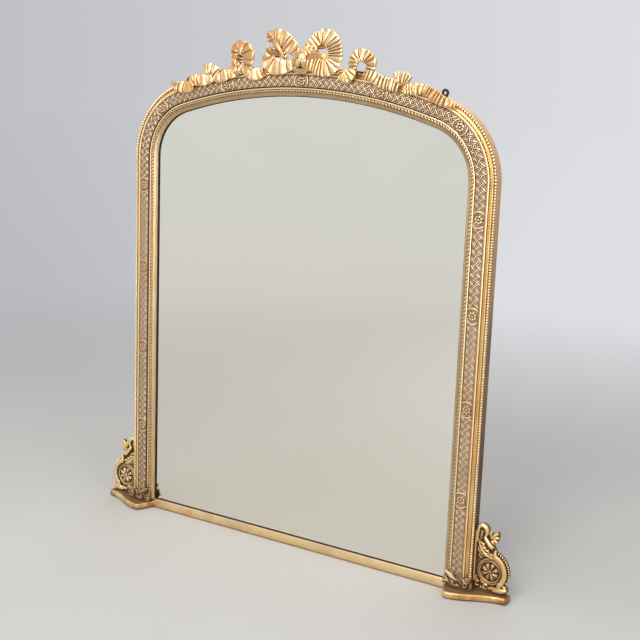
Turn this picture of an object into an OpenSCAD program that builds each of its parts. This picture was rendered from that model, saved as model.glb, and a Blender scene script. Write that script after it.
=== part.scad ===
// Gilt overmantel mirror: an arched frame with round shoulders, standing on two serpentine
// feet, with a scroll bracket beside each stile and a pleated ribbon crest along the arch.
// Millimetres. +Z is up, -Y is the front, and the origin is on the shelf under the middle.

/* [Frame] */
// Middle of the mirror to the centre line of the woven band on a stile
half_width = 570; // [500:1:650]
// Height of the spring line, where the shoulders start to curve
spring_z = 1140; // [1000:1:1300]
// Radius of a shoulder on the centre line of the band
shoulder_r = 190; // [150:1:230]
// Radius of the top arch on the centre line of the band
arch_r = 1485; // [1300:1:1800]
// Depth from the back of the frame to the ground of the band
frame_depth = 44; // [42:0.5:52]

/* [Moulding] */
// Width of the woven band
band_w = 31; // [26:0.5:36]
// Rise of the woven band at its middle
band_crown = 1.6; // [0.5:0.1:2]
// Width of the quirk on each side of the band
quirk_w = 3; // [2:0.1:4]
// Width of each bright fillet
fillet_w = 4.6; // [3.5:0.1:6]
// Drop of the inner fillet below the band
inner_fillet_drop = 2.9; // [1:0.1:4]
// Drop of the outer fillet below the band
outer_fillet_drop = 1.3; // [0.5:0.1:3]
// Depth of the gilt strips over the pine core
strip_t = 8; // [7:0.1:9]
// Width of the twisted rope moulding
rope_w = 7.4; // [6:0.1:9]
// Width of the sight slip beside the glass
slip_w = 11.4; // [8:0.1:14]
// Drop of the sight edge below the band
sight_drop = 13.8; // [12:0.1:15]
// Thickness of the sight edge
sight_t = 4; // [3:0.1:5]
// Width of the outer cove
cove_w = 9.6; // [8:0.1:13]
// Diameter of the pearl row along the outer edge
pearl_d = 6.4; // [5:0.1:8]
// Drop of the pearl row's axis below the band
pearl_drop = 11.9; // [10:0.1:14]
// Distance between medallions along the band
medallion_pitch = 258; // [220:1:300]
// Radius of the medallion's outer ring
medallion_r = 23; // [18:0.5:26]
// Radius of the medallion's boss
boss_r = 12; // [8:0.5:12]

/* [Glass and back] */
// Thickness of the mirror plate
glass_t = 4; // [3:0.1:6]
// Width of the rebate that holds the plate
rebate_w = 15; // [12:0.1:17]
// Clearance round the plate and the back boards
plate_gap = 1; // [0.5:0.1:3]
// Thickness of the blocks that hold the plate
block_t = 5; // [4:0.1:7]
// Thickness of the back boards
board_t = 6; // [5:0.1:8]
// Number of back boards
board_n = 5; // [3:1:7]
// Gap between the back boards
board_gap = 0.6; // [0.3:0.1:2]
// Height of each back batten
batten_h = 48; // [30:1:70]
// Thickness of the battens
batten_t = 5; // [4:0.1:6]

/* [Bottom rail] */
// Height of the top edge of the bottom rail
rail_top = 29.6; // [26:0.1:40]
// Clearance under the bottom rail
rail_lift = 1.5; // [0.5:0.1:4]
// Height of the lip that holds the plate
rail_lip = 7; // [4:0.1:8]

/* [Feet] */
// Thickness of a foot
foot_t = 20; // [16:0.5:24]
// Depth of a foot from the back to its nose
foot_depth = 88; // [80:1:110]
// Reach of a foot past the outer edge of the frame
foot_out = 108; // [105:1:140]
// Depth of a foot at its outer end
foot_end_depth = 34; // [32:1:60]
// Reach of a foot's nose over the front of the bottom rail
foot_toe = 15; // [7:1:24]
// Clearance between a foot and the bottom rail
rail_gap = 0.3; // [0.1:0.1:1]

/* [Brackets] */
// Radius of the large scroll's outer edge
scroll_r = 55; // [48:0.5:58]
// Width of the scroll bands
scroll_w = 9; // [6:0.5:11]
// Thickness of a bracket's back plate
bracket_t = 12; // [8:0.5:14]
// Rise of the scrolls over the back plate
scroll_rise = 9; // [6:0.5:11]
// Clearance behind a bracket
bracket_back = 3; // [0:0.5:8]
// Radius of the bracket's rosette
rosette_r = 27; // [20:0.5:28]
// Number of petals on that rosette
petal_n = 8; // [6:1:9]

/* [Leaves] */
// Height of the leaf plinth that covers the foot of each stile
plinth_h = 20; // [14:1:30]
// Height of the taller leaf tip above the foot
leaf_h = 56; // [48:1:70]
// Thickness of a leaf blade
leaf_t = 5; // [4:0.5:7]

/* [Crest] */
// Thickness of the carved ribbon
ribbon_t = 9; // [9:0.5:12]
// Distance between pleats along the ribbon
pleat_pitch = 11; // [9:0.5:16]
// Depth of the pleats
pleat_depth = 3; // [1:0.1:3.4]
// Crown of the ribbon across its width
ribbon_crown = 2; // [1:0.1:2.4]
// Clearance between the band and the back of the crest
crest_gap = 1; // [1:0.1:2]
// Rise of the crest's blocks over the frame's outer edge
block_rise = 5; // [4:0.5:8]

/* [Wall plates] */
// Position of each wall plate along the arch, from its middle
plate_s = 423; // [400:1:430]
// Height of the fixing hole above the outer edge of the frame
ear_rise = 8.6; // [8:0.1:14]
// Radius of the fixing hole
ear_hole_r = 4; // [3:0.1:5]
// Radius of the ear round the hole
ear_r = 11; // [8:0.5:13]
// Thickness of a wall plate
wall_plate_t = 2; // [1.5:0.1:3]
// Length of a wall plate on the frame's back
wall_plate_l = 46; // [36:1:50]
// Radius of the plate screws
screw_r = 1.8; // [1.4:0.1:2.4]
// Length of the plate screws
screw_l = 20; // [14:1:26]

/* [Hidden] */
$fn = 96;
turn = 180 / PI;
y_back = foot_depth / 2;

// Offsets across the moulding, outwards from the centre line of the band
band_o = band_w / 2;
quirk_o = band_o + quirk_w;
fillet_o = quirk_o + fillet_w;
rope_o = -fillet_o - rope_w;
sight_o = rope_o - slip_w;
cove_o = fillet_o + cove_w;
edge_o = cove_o + pearl_d;
rebate_o = sight_o + rebate_w;
plate_o = rebate_o - plate_gap;

// Heights over the back of the frame
ground_t = frame_depth - strip_t;
pearl_t = frame_depth - pearl_drop;
pearl_seat = pearl_t - pearl_d / 2;
sight_top = frame_depth - sight_drop;
rebate_t = sight_top - sight_t;
glass_back = rebate_t - glass_t;
board_front = glass_back - block_t;
board_back = board_front - board_t;
batten_back = board_back - batten_t;
crest_t = frame_depth + band_crown + crest_gap;

// The arch: its centre and the angle where a shoulder meets it
arch_z = spring_z - sqrt(pow(arch_r - shoulder_r, 2) - pow(half_width - shoulder_r, 2));
join_a = atan2(spring_z - arch_z, half_width - shoulder_r);
arch_half = arch_r * (90 - join_a) / turn;
shoulder_len = shoulder_r * join_a / turn;
leaf_z = foot_t + plinth_h;
outer_x = half_width + edge_o;
rail_x = half_width + rope_o;
tenon_x = half_width + rebate_o;
plate_z = rail_top - rail_lip;
recess_t = wall_plate_t + 1;
ear_o = edge_o + ear_rise;
head_r = 2 * screw_r;
// The crest is drawn for an arch of this half length, and is stretched to fit another
stretch = arch_half / 442;

// ---- Sections: [offset across the moulding, height over the frame's back] ----

function box_section(o0, o1, t0, t1) = [[o0, t0], [o1, t0], [o1, t1], [o0, t1]];

core_section = [
    [rebate_o, 0], [edge_o, 0], [edge_o, pearl_seat], [cove_o, pearl_seat],
    [fillet_o, ground_t], [rope_o, ground_t], [rope_o, rebate_t], [rebate_o, rebate_t]
];

// A quarter hollow from the sight edge up to the rope
slip_rise = ground_t + rope_w / 4 - sight_top;
slip_section = concat(
    [[rope_o, rebate_t], [rope_o, sight_top + slip_rise]],
    [for (a = [0:15:90])
        [rope_o - slip_w * 0.85 * sin(a), sight_top + slip_rise * (1 - sin(a / 2) / sin(45))]],
    [[sight_o, sight_top - 1], [sight_o, rebate_t]]
);

rope_section = concat(
    [[rope_o, ground_t]],
    [for (a = [180:-15:0]) [rope_o + rope_w / 2 * (1 + cos(a)), ground_t + 0.6 + rope_w * 0.55 * sin(a)]],
    [[-fillet_o, ground_t]]
);

function fillet_section(side, drop) = let (
    inner = side * (quirk_o + fillet_w / 2), half = fillet_w / 2, top = frame_depth - drop
) [
    [inner - half, ground_t], [inner + half, ground_t], [inner + half, top - 1.2],
    [inner + half - 1, top], [inner - half + 1, top], [inner - half, top - 1.2]
];

// The band between its two quirks, with a gentle crown
band_section = concat(
    [[quirk_o, ground_t], [quirk_o, ground_t + 1]],
    [for (i = [0:6]) let (k = 1 - i / 3) [band_o * k, frame_depth - 1 + (1 + band_crown) * (1 - k * k)]],
    [[-quirk_o, ground_t + 1], [-quirk_o, ground_t]]
);

// A hollow that falls from the outer fillet to the pearls
cove_top = frame_depth - outer_fillet_drop - 2.4;
cove_section = concat(
    [[cove_o, pearl_seat], [fillet_o, ground_t], [fillet_o, cove_top]],
    [for (a = [10:10:80]) [cove_o - cove_w * cos(a), pearl_t + (cove_top - pearl_t) * (1 - sin(a))]],
    [[cove_o, pearl_t]]
);

pearl_section = [for (a = [0:15:345]) [cove_o + pearl_d / 2 * (1 + cos(a)), pearl_t + pearl_d / 2 * sin(a)]];

// ---- Places along the frame ----

// A section run up a stile from z0 to the spring line
module stile_run(section, z0) {
    translate([half_width, y_back, z0])
        linear_extrude(spring_z - z0)
            polygon([for (p = section) [p[0], -p[1]]]);
}

// A section revolved about the centre (x, z) from angle a0 to a1
module arc_run(section, x, z, r, a0, a1) {
    translate([x, y_back, z])
        rotate([90, 0, 0])
            rotate_extrude(angle = a1 - a0, start = a0)
                polygon([for (p = section) [r + p[0], p[1]]]);
}

module shoulder_run(section) {
    arc_run(section, half_width - shoulder_r, spring_z, shoulder_r, 0, join_a);
}

module arch_run(section) {
    arc_run(section, 0, arch_z, arch_r, join_a, 180 - join_a);
}

// A section run up a stile from z0 and on round the shoulder
module side_run(section, z0) {
    stile_run(section, z0);
    shoulder_run(section);
}

module at_left() {
    mirror([1, 0, 0]) children();
}

// A flat shape in X and Z, from t0 to t1 over the frame's back
module slab(t0, t1) {
    translate([0, y_back - t0, 0]) rotate([90, 0, 0]) linear_extrude(t1 - t0) children();
}

// A half ball facing forward at height t, eased into flats
module dome(r, t) {
    translate([0, y_back - t, 0]) rotate([90, 0, 0]) rotate_extrude()
        polygon(concat([[0, -0.5], [r, -0.5]], [for (a = [0:18:90]) [r * cos(a), r * sin(a)]]));
}

// A point at distance s along the arch from its middle, o above the band's centre line
function on_arch(s, o, t) = let (a = 90 - s * stretch / arch_r * turn)
    [(arch_r + o) * cos(a), y_back - t, arch_z + (arch_r + o) * sin(a)];

// Turns its children so that X runs along the arch and Z points away from its centre
module ride_arch(s) {
    translate(on_arch(s, 0, y_back)) rotate([0, s * stretch / arch_r * turn, 0]) children();
}

// Place and tilt on the band's centre line, at distance d from the middle of the arch
function band_place(d) = let (
    a = 90 - d / arch_r * turn,
    b = join_a - (d - arch_half) / shoulder_r * turn
)
    d < arch_half ? [arch_r * cos(a), arch_z + arch_r * sin(a), 90 - a]
    : b > 0 ? [half_width - shoulder_r + shoulder_r * cos(b), spring_z + shoulder_r * sin(b), 90 - b]
    : [half_width, spring_z - (d - arch_half - shoulder_len), 90];

// ---- Frame ----

module foot_screw_places() {
    for (x = [half_width - 12, half_width + 20]) translate([x, y_back - 16, 0]) children();
}

module pine_stile_right() {
    color("burlywood") difference() {
        stile_run(core_section, foot_t);
        foot_screw_places() cylinder(r = screw_r, h = foot_t + screw_l);
    }
}

module pine_stile_left() { at_left() pine_stile_right(); }
module pine_shoulder_left() { color("burlywood") at_left() shoulder_run(core_section); }
module pine_shoulder_right() { color("burlywood") shoulder_run(core_section); }

plate_screw_drops = [14, 32];

module plate_screw_places(s) {
    ride_arch(s)
        for (d = plate_screw_drops) translate([0, 0, edge_o - d]) children();
}

module pine_arch() {
    color("burlywood") difference() {
        arch_run(core_section);
        for (s = [-plate_s, plate_s]) {
            ride_arch(s) slab(-1, recess_t) wall_plate_outline();
            plate_screw_places(s) slab(0, screw_l) circle(screw_r);
        }
    }
}

// The rail's lip stands in front of the plate, and its tenons meet the pine stiles
rail_section = [
    [y_back, rail_lift], [y_back, plate_z], [y_back - rebate_t, plate_z],
    [y_back - rebate_t, rail_top], [y_back - sight_top + 2, rail_top],
    [y_back - sight_top, rail_top - 2], [y_back - sight_top, rail_lift + 2],
    [y_back - sight_top + 2, rail_lift]
];

module bottom_rail() {
    color("goldenrod") {
        translate([-rail_x, 0, 0]) rotate([90, 0, 90]) linear_extrude(2 * rail_x)
            polygon(rail_section);
        translate([-tenon_x, y_back - rebate_t, foot_t])
            cube([2 * tenon_x, rebate_t, plate_z - foot_t]);
    }
}

// ---- Mouldings ----

module sight_slip_left() { color("goldenrod") at_left() side_run(slip_section, rail_top); }
module sight_slip_right() { color("goldenrod") side_run(slip_section, rail_top); }
module sight_slip_arch() { color("goldenrod") arch_run(slip_section); }

module rope_left() { color("darkgoldenrod") at_left() side_run(rope_section, leaf_z); }
module rope_right() { color("darkgoldenrod") side_run(rope_section, leaf_z); }
module rope_arch() { color("darkgoldenrod") arch_run(rope_section); }

inner_fillet = fillet_section(-1, inner_fillet_drop);
outer_fillet = fillet_section(1, outer_fillet_drop);

module fillets_right() {
    color("khaki") {
        side_run(inner_fillet, leaf_z);
        side_run(outer_fillet, leaf_z);
    }
}

module fillets_left() { at_left() fillets_right(); }

module fillets_arch() {
    color("khaki") {
        arch_run(inner_fillet);
        arch_run(outer_fillet);
    }
}

module woven_band_left() { color("tan") at_left() side_run(band_section, leaf_z); }
module woven_band_right() { color("tan") side_run(band_section, leaf_z); }
module woven_band_arch() { color("tan") arch_run(band_section); }

module cove_left() { color("peru") at_left() side_run(cove_section, leaf_z); }
module cove_right() { color("peru") side_run(cove_section, leaf_z); }
module cove_arch() { color("peru") arch_run(cove_section); }

module pearls_left() { color("gold") at_left() side_run(pearl_section, leaf_z); }
module pearls_right() { color("gold") side_run(pearl_section, leaf_z); }
module pearls_arch() { color("gold") arch_run(pearl_section); }

// ---- Medallions ----

medallion_t = frame_depth + band_crown;
medallion_n = floor((arch_half + shoulder_len + spring_z - leaf_z - 50) / medallion_pitch);

module medallion() {
    slab(frame_depth - 1, medallion_t + 0.2) intersection() {
        circle(medallion_r);
        square([2 * medallion_r, band_w], center = true);
    }
    slab(medallion_t, medallion_t + crest_gap - 0.2) intersection() {
        difference() {
            circle(medallion_r);
            circle(medallion_r - 3);
        }
        square([2 * medallion_r, band_w], center = true);
    }
    slab(medallion_t, medallion_t + 1.4) circle(boss_r);
    dome(boss_r / 4, medallion_t + 1.4);
}

module medallions() {
    color("khaki") difference() {
        union() for (i = [-medallion_n:medallion_n]) let (p = band_place(abs(i) * medallion_pitch))
            mirror([i < 0 ? 1 : 0, 0, 0])
                translate([p[0], 0, p[1]]) rotate([0, p[2], 0]) medallion();
        woven_band_left();
        woven_band_right();
        woven_band_arch();
    }
}

// ---- Glass and back ----

// Outline of the opening at offset o from the band's centre line, down to height z
function opening(o, z) = concat(
    [[-half_width - o, z], [half_width + o, z]],
    [for (i = [0:12]) let (a = join_a * i / 12)
        [half_width - shoulder_r + (shoulder_r + o) * cos(a), spring_z + (shoulder_r + o) * sin(a)]],
    [for (i = [1:24]) let (a = join_a + (180 - 2 * join_a) * i / 24)
        [(arch_r + o) * cos(a), arch_z + (arch_r + o) * sin(a)]],
    [for (i = [1:12]) let (a = 180 - join_a + join_a * i / 12)
        [shoulder_r - half_width + (shoulder_r + o) * cos(a), spring_z + (shoulder_r + o) * sin(a)]]
);

module mirror_plate() {
    color("lightsteelblue") slab(glass_back, rebate_t) polygon(opening(plate_o, plate_z));
}

module plate_blocks() {
    block = box_section(plate_o - 8, rebate_o, board_front, glass_back);
    color("sienna") {
        for (side = [0, 1]) mirror([side, 0, 0]) {
            for (k = [0.14, 0.4, 0.67, 0.93]) translate([0, 0, spring_z * k])
                intersection() {
                    stile_run(block, 0);
                    translate([half_width + plate_o - 9, 0, 0]) cube([20, y_back, 34]);
                }
            arc_run(block, half_width - shoulder_r, spring_z, shoulder_r, join_a / 2 - 5, join_a / 2 + 5);
            arc_run(block, 0, arch_z, arch_r, 81, 82.2);
            translate([half_width / 2, y_back - glass_back, plate_z]) cube([40, block_t, 10]);
        }
        arc_run(block, 0, arch_z, arch_r, 89.4, 90.6);
    }
}

module back_boards() {
    pitch = 2 * (half_width + plate_o) / board_n;
    color("wheat") slab(board_back, board_front) difference() {
        polygon(opening(plate_o, plate_z));
        for (i = [1:board_n - 1]) translate([-half_width - plate_o + pitch * i - board_gap / 2, 0])
            square([board_gap, 2 * spring_z]);
    }
}

module batten(z) {
    translate([-tenon_x, y_back - board_back, z]) cube([2 * tenon_x, batten_t, batten_h]);
}

module batten_lower() { color("burlywood") batten(spring_z * 0.22); }
module batten_upper() { color("burlywood") batten(spring_z * 0.86); }

// ---- Feet ----

foot_reach = outer_x + foot_out;
nose_x = half_width - 14;
notch_x = rail_x + rail_gap;
notch_t = sight_top + rail_gap;

// A serpentine front, from the nose under the stile to the shallow outer end
function foot_plan(inset) = concat(
    [[notch_x, 0], [notch_x, notch_t], [notch_x - foot_toe + inset, notch_t]],
    [for (i = [1:7]) let (u = i / 8)
        [notch_x - foot_toe + inset + (nose_x - notch_x + foot_toe - inset) * u,
         notch_t + (foot_depth - inset - notch_t) * (1 - cos(180 * u)) / 2]],
    [for (i = [0:16]) let (u = i / 16)
        [nose_x + (foot_reach - 6 - inset - nose_x) * u,
         foot_end_depth - inset + (foot_depth - foot_end_depth) * (1 + cos(180 * u)) / 2]],
    [[foot_reach - inset, foot_end_depth - 5 - inset], [foot_reach - inset, 0]]
);

module foot_layer(z, h, inset) {
    translate([0, 0, z]) linear_extrude(h)
        polygon([for (p = foot_plan(inset)) [p[0], y_back - p[1]]]);
}

module foot_right() {
    color("rosybrown") difference() {
        union() {
            foot_layer(1.5, foot_t - 3, 0);
            foot_layer(0, foot_t, 1.5);
        }
        foot_screw_places() {
            translate([0, 0, -1]) cylinder(r = screw_r, h = foot_t + 2);
            translate([0, 0, -1]) cylinder(r = head_r + 0.4, h = 4);
        }
    }
}

module foot_left() { at_left() foot_right(); }

module foot_screws() {
    color("dimgray") for (side = [0, 1]) mirror([side, 0, 0]) foot_screw_places() {
        translate([0, 0, 1]) cylinder(r = head_r, h = 2);
        translate([0, 0, 1]) cylinder(r = screw_r, h = foot_t + screw_l - 1);
    }
}

// ---- Scroll brackets ----

// Points of a bracket are measured from the frame's outer edge and the top of the foot
scroll_c = [46, scroll_r + 7];
crook_c = [20, 176];
bud_c = [56, 160];
relief_t = bracket_back + bracket_t;
relief_top = relief_t + scroll_rise;

module bracket_outline() {
    intersection() {
        union() {
            translate(scroll_c) circle(scroll_r);
            translate(crook_c) circle(20);
            translate(bud_c) circle(14);
            square([34, crook_c[1]]);
            square([78, 14]);
            polygon([[30, 150], [44, 152], [68, 118], [60, 90], [30, 90]]);
            polygon([[58, 172], [69, 186], [71, 184], [70, 164]]);
            polygon([[32, 158], [44, 168], [52, 148], [40, 138]]);
            polygon([[56, 0], [97, 0], [104, 9], [105, 18], [101, 26], [91, 31], [70, 24]]);
        }
        square([120, 200]);
    }
}

// A scroll band: part of a ring with eased edges, standing on the bracket's plate
module scroll_band(c, r, a0, a1) {
    translate([c[0], y_back, c[1]]) rotate([90, 0, 0])
        rotate_extrude(angle = a1 - a0, start = a0)
            polygon([
                [r - scroll_w, relief_t - 1], [r, relief_t - 1], [r, relief_top - 2.5],
                [r - 2.5, relief_top], [r - scroll_w + 2.5, relief_top],
                [r - scroll_w, relief_top - 2.5]
            ]);
}

module bracket_at() {
    translate([outer_x, 0, foot_t]) children();
}

module bracket_right() {
    row_r = scroll_r + 3.4;
    color("darkgoldenrod") bracket_at() {
        slab(bracket_back, relief_t) bracket_outline();
        scroll_band(scroll_c, scroll_r - 0.1, -38, 64);
        scroll_band(crook_c, 19.9, -22, 175);
        scroll_band(bud_c, 13.9, -150, 120);
        slab(relief_t - 1, relief_top - 3) {
            translate([0, 26]) square([5, 148]);
            polygon([[31, 148], [39, 153], [66, 120], [58, 114]]);
            polygon([[58, 5], [95, 2], [101, 12], [99, 22], [90, 26], [76, 16]]);
        }
        slab(relief_t - 1, relief_t + 4) {
            polygon([[12, 8], [34, 6], [42, 16], [30, 22], [22, 34], [12, 30]]);
            polygon([[10, 128], [30, 136], [60, 104], [44, 100], [18, 108]]);
        }
        translate([scroll_c[0], y_back, scroll_c[1]]) rotate([90, 0, 0])
            rotate_extrude(angle = 86, start = -25)
                polygon([
                    [scroll_r - 1, bracket_back], [row_r + 2.6, bracket_back],
                    [row_r + 2.6, bracket_back + 5], [scroll_r - 1, bracket_back + 5]
                ]);
        for (i = [0:13])
            translate([
                scroll_c[0] + row_r * cos(6.3 * i - 23), y_back - bracket_back - 5.6,
                scroll_c[1] + row_r * sin(6.3 * i - 23)
            ]) sphere(2.6);
    }
}

module bracket_left() { at_left() bracket_right(); }

module bracket_rosette_right() {
    c = [scroll_c[0] + 4, scroll_c[1] - 2];
    petal_c = rosette_r * 0.62;
    color("gold") bracket_at() translate([c[0], 0, c[1]]) {
        slab(relief_t, relief_t + 2) circle(rosette_r);
        for (i = [0:petal_n - 1])
            rotate([0, 360 / petal_n * i, 0]) translate([petal_c, 0, 0])
                dome(petal_c * sin(180 / petal_n) * 0.95, relief_t + 2);
        dome(rosette_r * 0.22, relief_t + 2);
    }
}

module bracket_rosette_left() { at_left() bracket_rosette_right(); }

// ---- Carved ribbons and leaves ----

// A strand is a row of knots [distance, height, half width, lift] joined by a smooth curve,
// with two stations to each pleat
function knot_at(k, i) = k[max(0, min(len(k) - 1, i))];

function between(k, i, u) = let (
    a = knot_at(k, i - 1), b = knot_at(k, i), c = knot_at(k, i + 1), d = knot_at(k, i + 2)
) (2 * b + (c - a) * u + (2 * a - 5 * b + 4 * c - d) * u * u + (3 * b - a - 3 * c + d) * u * u * u) / 2;

function stations(a, b) = 2 * max(1, round(norm([b[0] - a[0], b[1] - a[1]]) / pleat_pitch));

function path(k) = [
    for (i = [0:len(k) - 2]) let (n = stations(k[i], k[i + 1])) for (j = [0:n - 1]) between(k, i, j / n),
    k[len(k) - 1]
];

function across(p, i) = let (
    a = p[max(0, i - 1)], b = p[min(len(p) - 1, i + 1)], d = [b[0] - a[0], b[1] - a[1]]
) [-d[1], d[0]] / norm(d);

function spot(u, v, t, curved) = curved ? on_arch(u, v, t) : [u, y_back - t, v];

// Five points: front edge, crown, front edge, and the two back corners
function slice(p, i, back, rise, fold, crown, curved) = let (
    q = p[i], n = across(p, i), w = q[2] + (i % 2) * -1, top = crest_t + rise + q[3] - (i % 2) * fold
) [
    spot(q[0] - n[0] * w, q[1] - n[1] * w, top - crown, curved),
    spot(q[0], q[1], top, curved),
    spot(q[0] + n[0] * w, q[1] + n[1] * w, top - crown, curved),
    spot(q[0] + n[0] * w, q[1] + n[1] * w, back, curved),
    spot(q[0] - n[0] * w, q[1] - n[1] * w, back, curved)
];

module strand(knots, back, rise, fold, crown, curved) {
    p = path(knots);
    rows = [for (i = [0:len(p) - 1]) slice(p, i, back, rise, fold, crown, curved)];
    for (i = [0:len(p) - 2])
        hull() polyhedron(
            points = concat(rows[i], rows[i + 1]),
            faces = [[0, 1, 2, 3, 4], [9, 8, 7, 6, 5]]
        );
}

module ribbon(knots) {
    strand(knots, crest_t, ribbon_t, pleat_depth, ribbon_crown, true);
}

// ---- Leaves at the foot of each stile ----

module blade(knots) {
    strand(
        [for (k = knots) [half_width + k[0], foot_t + k[1] * leaf_h / 56, k[2], k[3]]],
        crest_t - 0.5, leaf_t, 1, 1.5, false
    );
}

module leaves_right() {
    color("goldenrod") {
        translate([half_width, y_back, foot_t]) linear_extrude(plinth_h)
            polygon([
                [rope_o, -ground_t], [fillet_o, -ground_t], [cove_o, -pearl_seat],
                [edge_o, -pearl_seat], [edge_o, -crest_t], [rope_o, -crest_t]
            ]);
        blade([[-14, 2, 27, 0], [-14, 14, 27, 1], [-14, 30, 20, 2], [-13, 44, 9, 4], [-13, 56, 2, 3]]);
        blade([[10, 2, 16, 2], [10, 16, 14, 3], [8, 30, 8, 2], [6, 37, 2, 0]]);
        blade([[30, 3, 20, 0], [31, 15, 19, 1], [39, 28, 12, 3], [46, 37, 6, 3], [52, 45, 2, 1]]);
    }
}

module leaves_left() { at_left() leaves_right(); }

// ---- Crest ----

tail_l = [
    [-453, 49, 3, -1], [-443, 42, 8, 0], [-435, 32, 15, 2], [-416, 26, 17, 2], [-397, 22, 17, 0],
    [-380, 22, 15, -1]
];
wave_l = [
    [-384, 33, 14, 3], [-365, 35, 17, 3], [-346, 31, 18, 2], [-326, 28, 16, 1], [-309, 29, 13, 0],
    [-296, 29, 10, -2]
];
fold_l = [
    [-322, 59, 13, 1], [-307, 57, 15, 3], [-292, 47, 19, 4], [-280, 31, 20, 4], [-264, 30, 19, 2],
    [-248, 33, 16, 1], [-232, 32, 15, 2], [-218, 36, 13, 1], [-203, 40, 9, 1]
];
loop_l = [
    [-209, 47, 8, -3], [-218, 62, 10, -2], [-219, 78, 11, 0], [-211, 97, 15, 3], [-194, 101, 16, 5],
    [-179, 90, 20, 5], [-175, 70, 18, 4], [-181, 50, 16, 2], [-177, 34, 19, 4], [-159, 25, 17, 3],
    [-139, 24, 16, 1], [-123, 32, 15, -1]
];
loop_l_inner = [[-214, 50, 8, -3], [-207, 66, 11, -3], [-200, 82, 9, -3]];
bow_l_low = [
    [-21, 51, 12, 2], [-41, 41, 18, 4], [-66, 38, 22, 6], [-89, 43, 25, 5], [-108, 57, 22, 1],
    [-118, 74, 8, -1]
];
bow_l_top = [
    [-6, 66, 11, 1], [-21, 83, 17, 5], [-37, 103, 21, 6], [-56, 120, 20, 5], [-76, 126, 18, 4],
    [-92, 126, 14, 2], [-104, 123, 8, -1]
];
bow_l_inner = [[-50, 58, 9, 0], [-58, 76, 9, -1], [-73, 95, 12, -1], [-87, 89, 14, -1], [-93, 74, 12, -3]];
knot_band = [[-34, 46, 6, 1], [-17, 33, 8, 3], [0, 27, 8, 4], [14, 30, 8, 3], [28, 38, 6, 1]];
knot_wrap = [[-20, 40, 9, 4], [-13, 56, 14, 7], [-4, 68, 16, 7], [8, 81, 11, 5]];
knot_cross = [[19, 38, 9, 4], [13, 52, 12, 6], [4, 66, 13, 7], [-6, 82, 9, 4]];
bow_r_lobe = [[6, 66, 10, 1], [22, 86, 15, 6], [37, 103, 17, 5], [52, 120, 18, 2]];
bow_r_ring = [
    [37, 117, 12, -1], [57, 126, 17, 1], [78, 125, 23, 3], [97, 110, 25, 3], [107, 88, 22, 3],
    [107, 63, 23, 4], [94, 45, 24, 5], [72, 40, 24, 5], [49, 45, 22, 5], [27, 51, 16, 4],
    [12, 55, 10, 3]
];
drop_r = [[123, 44, 10, -2], [131, 29, 13, 1], [146, 24, 18, 5], [161, 34, 17, 4], [167, 48, 11, 1]];
loop_r = [
    [167, 34, 10, -1], [164, 56, 13, 1], [169, 78, 17, 3], [186, 89, 17, 4], [206, 86, 18, 4],
    [218, 72, 17, 2], [215, 54, 13, -1], [209, 40, 13, -2]
];
run_r = [
    [209, 40, 14, 1], [227, 38, 16, 2], [250, 31, 17, 1], [274, 29, 17, 1], [296, 30, 17, 1],
    [316, 30, 15, -1]
];
fold_r = [[303, 45, 14, 1], [318, 55, 15, 3], [334, 53, 13, 1]];
wave_r = [[327, 25, 12, -2], [346, 32, 15, 2], [366, 39, 16, 3], [385, 44, 15, 3], [397, 43, 13, 0]];
tail_r = [
    [390, 46, 13, 1], [408, 41, 16, 2], [430, 35, 17, 2], [449, 32, 14, 1], [466, 32, 11, 0],
    [483, 31, 5, -2]
];

module ribbons(rows) {
    for (k = rows) ribbon(k);
}

module crest_tail_left() {
    color("gold") union() ribbons([tail_l, wave_l, fold_l]);
}

module crest_knot() {
    color("gold") union() ribbons([knot_band, knot_wrap, knot_cross]);
}

module crest_loop_left() {
    color("gold") difference() {
        union() ribbons([loop_l, loop_l_inner]);
        ribbon(fold_l);
    }
}

module crest_bow_left() {
    color("gold") difference() {
        union() ribbons([bow_l_low, bow_l_top, bow_l_inner]);
        ribbons([loop_l, knot_band, knot_wrap, knot_cross]);
    }
}

module crest_bow_right() {
    color("gold") difference() {
        union() ribbons([bow_r_lobe, bow_r_ring]);
        ribbons([knot_band, knot_wrap, knot_cross, bow_l_top]);
    }
}

module crest_loop_right() {
    color("gold") difference() {
        union() ribbons([drop_r, loop_r]);
        ribbon(bow_r_ring);
    }
}

module crest_tail_right() {
    color("gold") difference() {
        union() ribbons([run_r, fold_r, wave_r, tail_r]);
        ribbon(loop_r);
    }
}

// Blocks on the arch's outer edge: the crest is fixed to their front faces
crest_blocks_at = [
    [-370, 10], [-260, 10], [-186, 10], [-80, 14], [-8, 26], [70, 14], [176, 12], [238, 10],
    [360, 12], [422, 10]
];

module crest_blocks() {
    color("darkslategray") for (b = crest_blocks_at)
        arc_run(
            box_section(edge_o, edge_o + block_rise, 18, crest_t), 0, arch_z, arch_r,
            90 - (b[0] * stretch + b[1]) / arch_r * turn, 90 - (b[0] * stretch - b[1]) / arch_r * turn
        );
}

// ---- Wall plates ----

module wall_plate_outline() {
    translate([0, ear_o]) circle(ear_r);
    translate([1 - ear_r, edge_o - wall_plate_l]) square([2 * ear_r - 2, wall_plate_l + ear_rise]);
}

module wall_plate(s) {
    color("gray") difference() {
        ride_arch(s) slab(1, recess_t) wall_plate_outline();
        ride_arch(s) slab(0, recess_t + 1) translate([0, ear_o]) circle(ear_hole_r);
        plate_screw_places(s) slab(0, recess_t + 1) circle(screw_r);
    }
}

module wall_plate_left() { wall_plate(-plate_s); }
module wall_plate_right() { wall_plate(plate_s); }

module wall_plate_screws() {
    color("dimgray") for (s = [-plate_s, plate_s]) plate_screw_places(s) {
        slab(0, 1) circle(head_r);
        slab(0, screw_l) circle(screw_r);
    }
}

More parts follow.
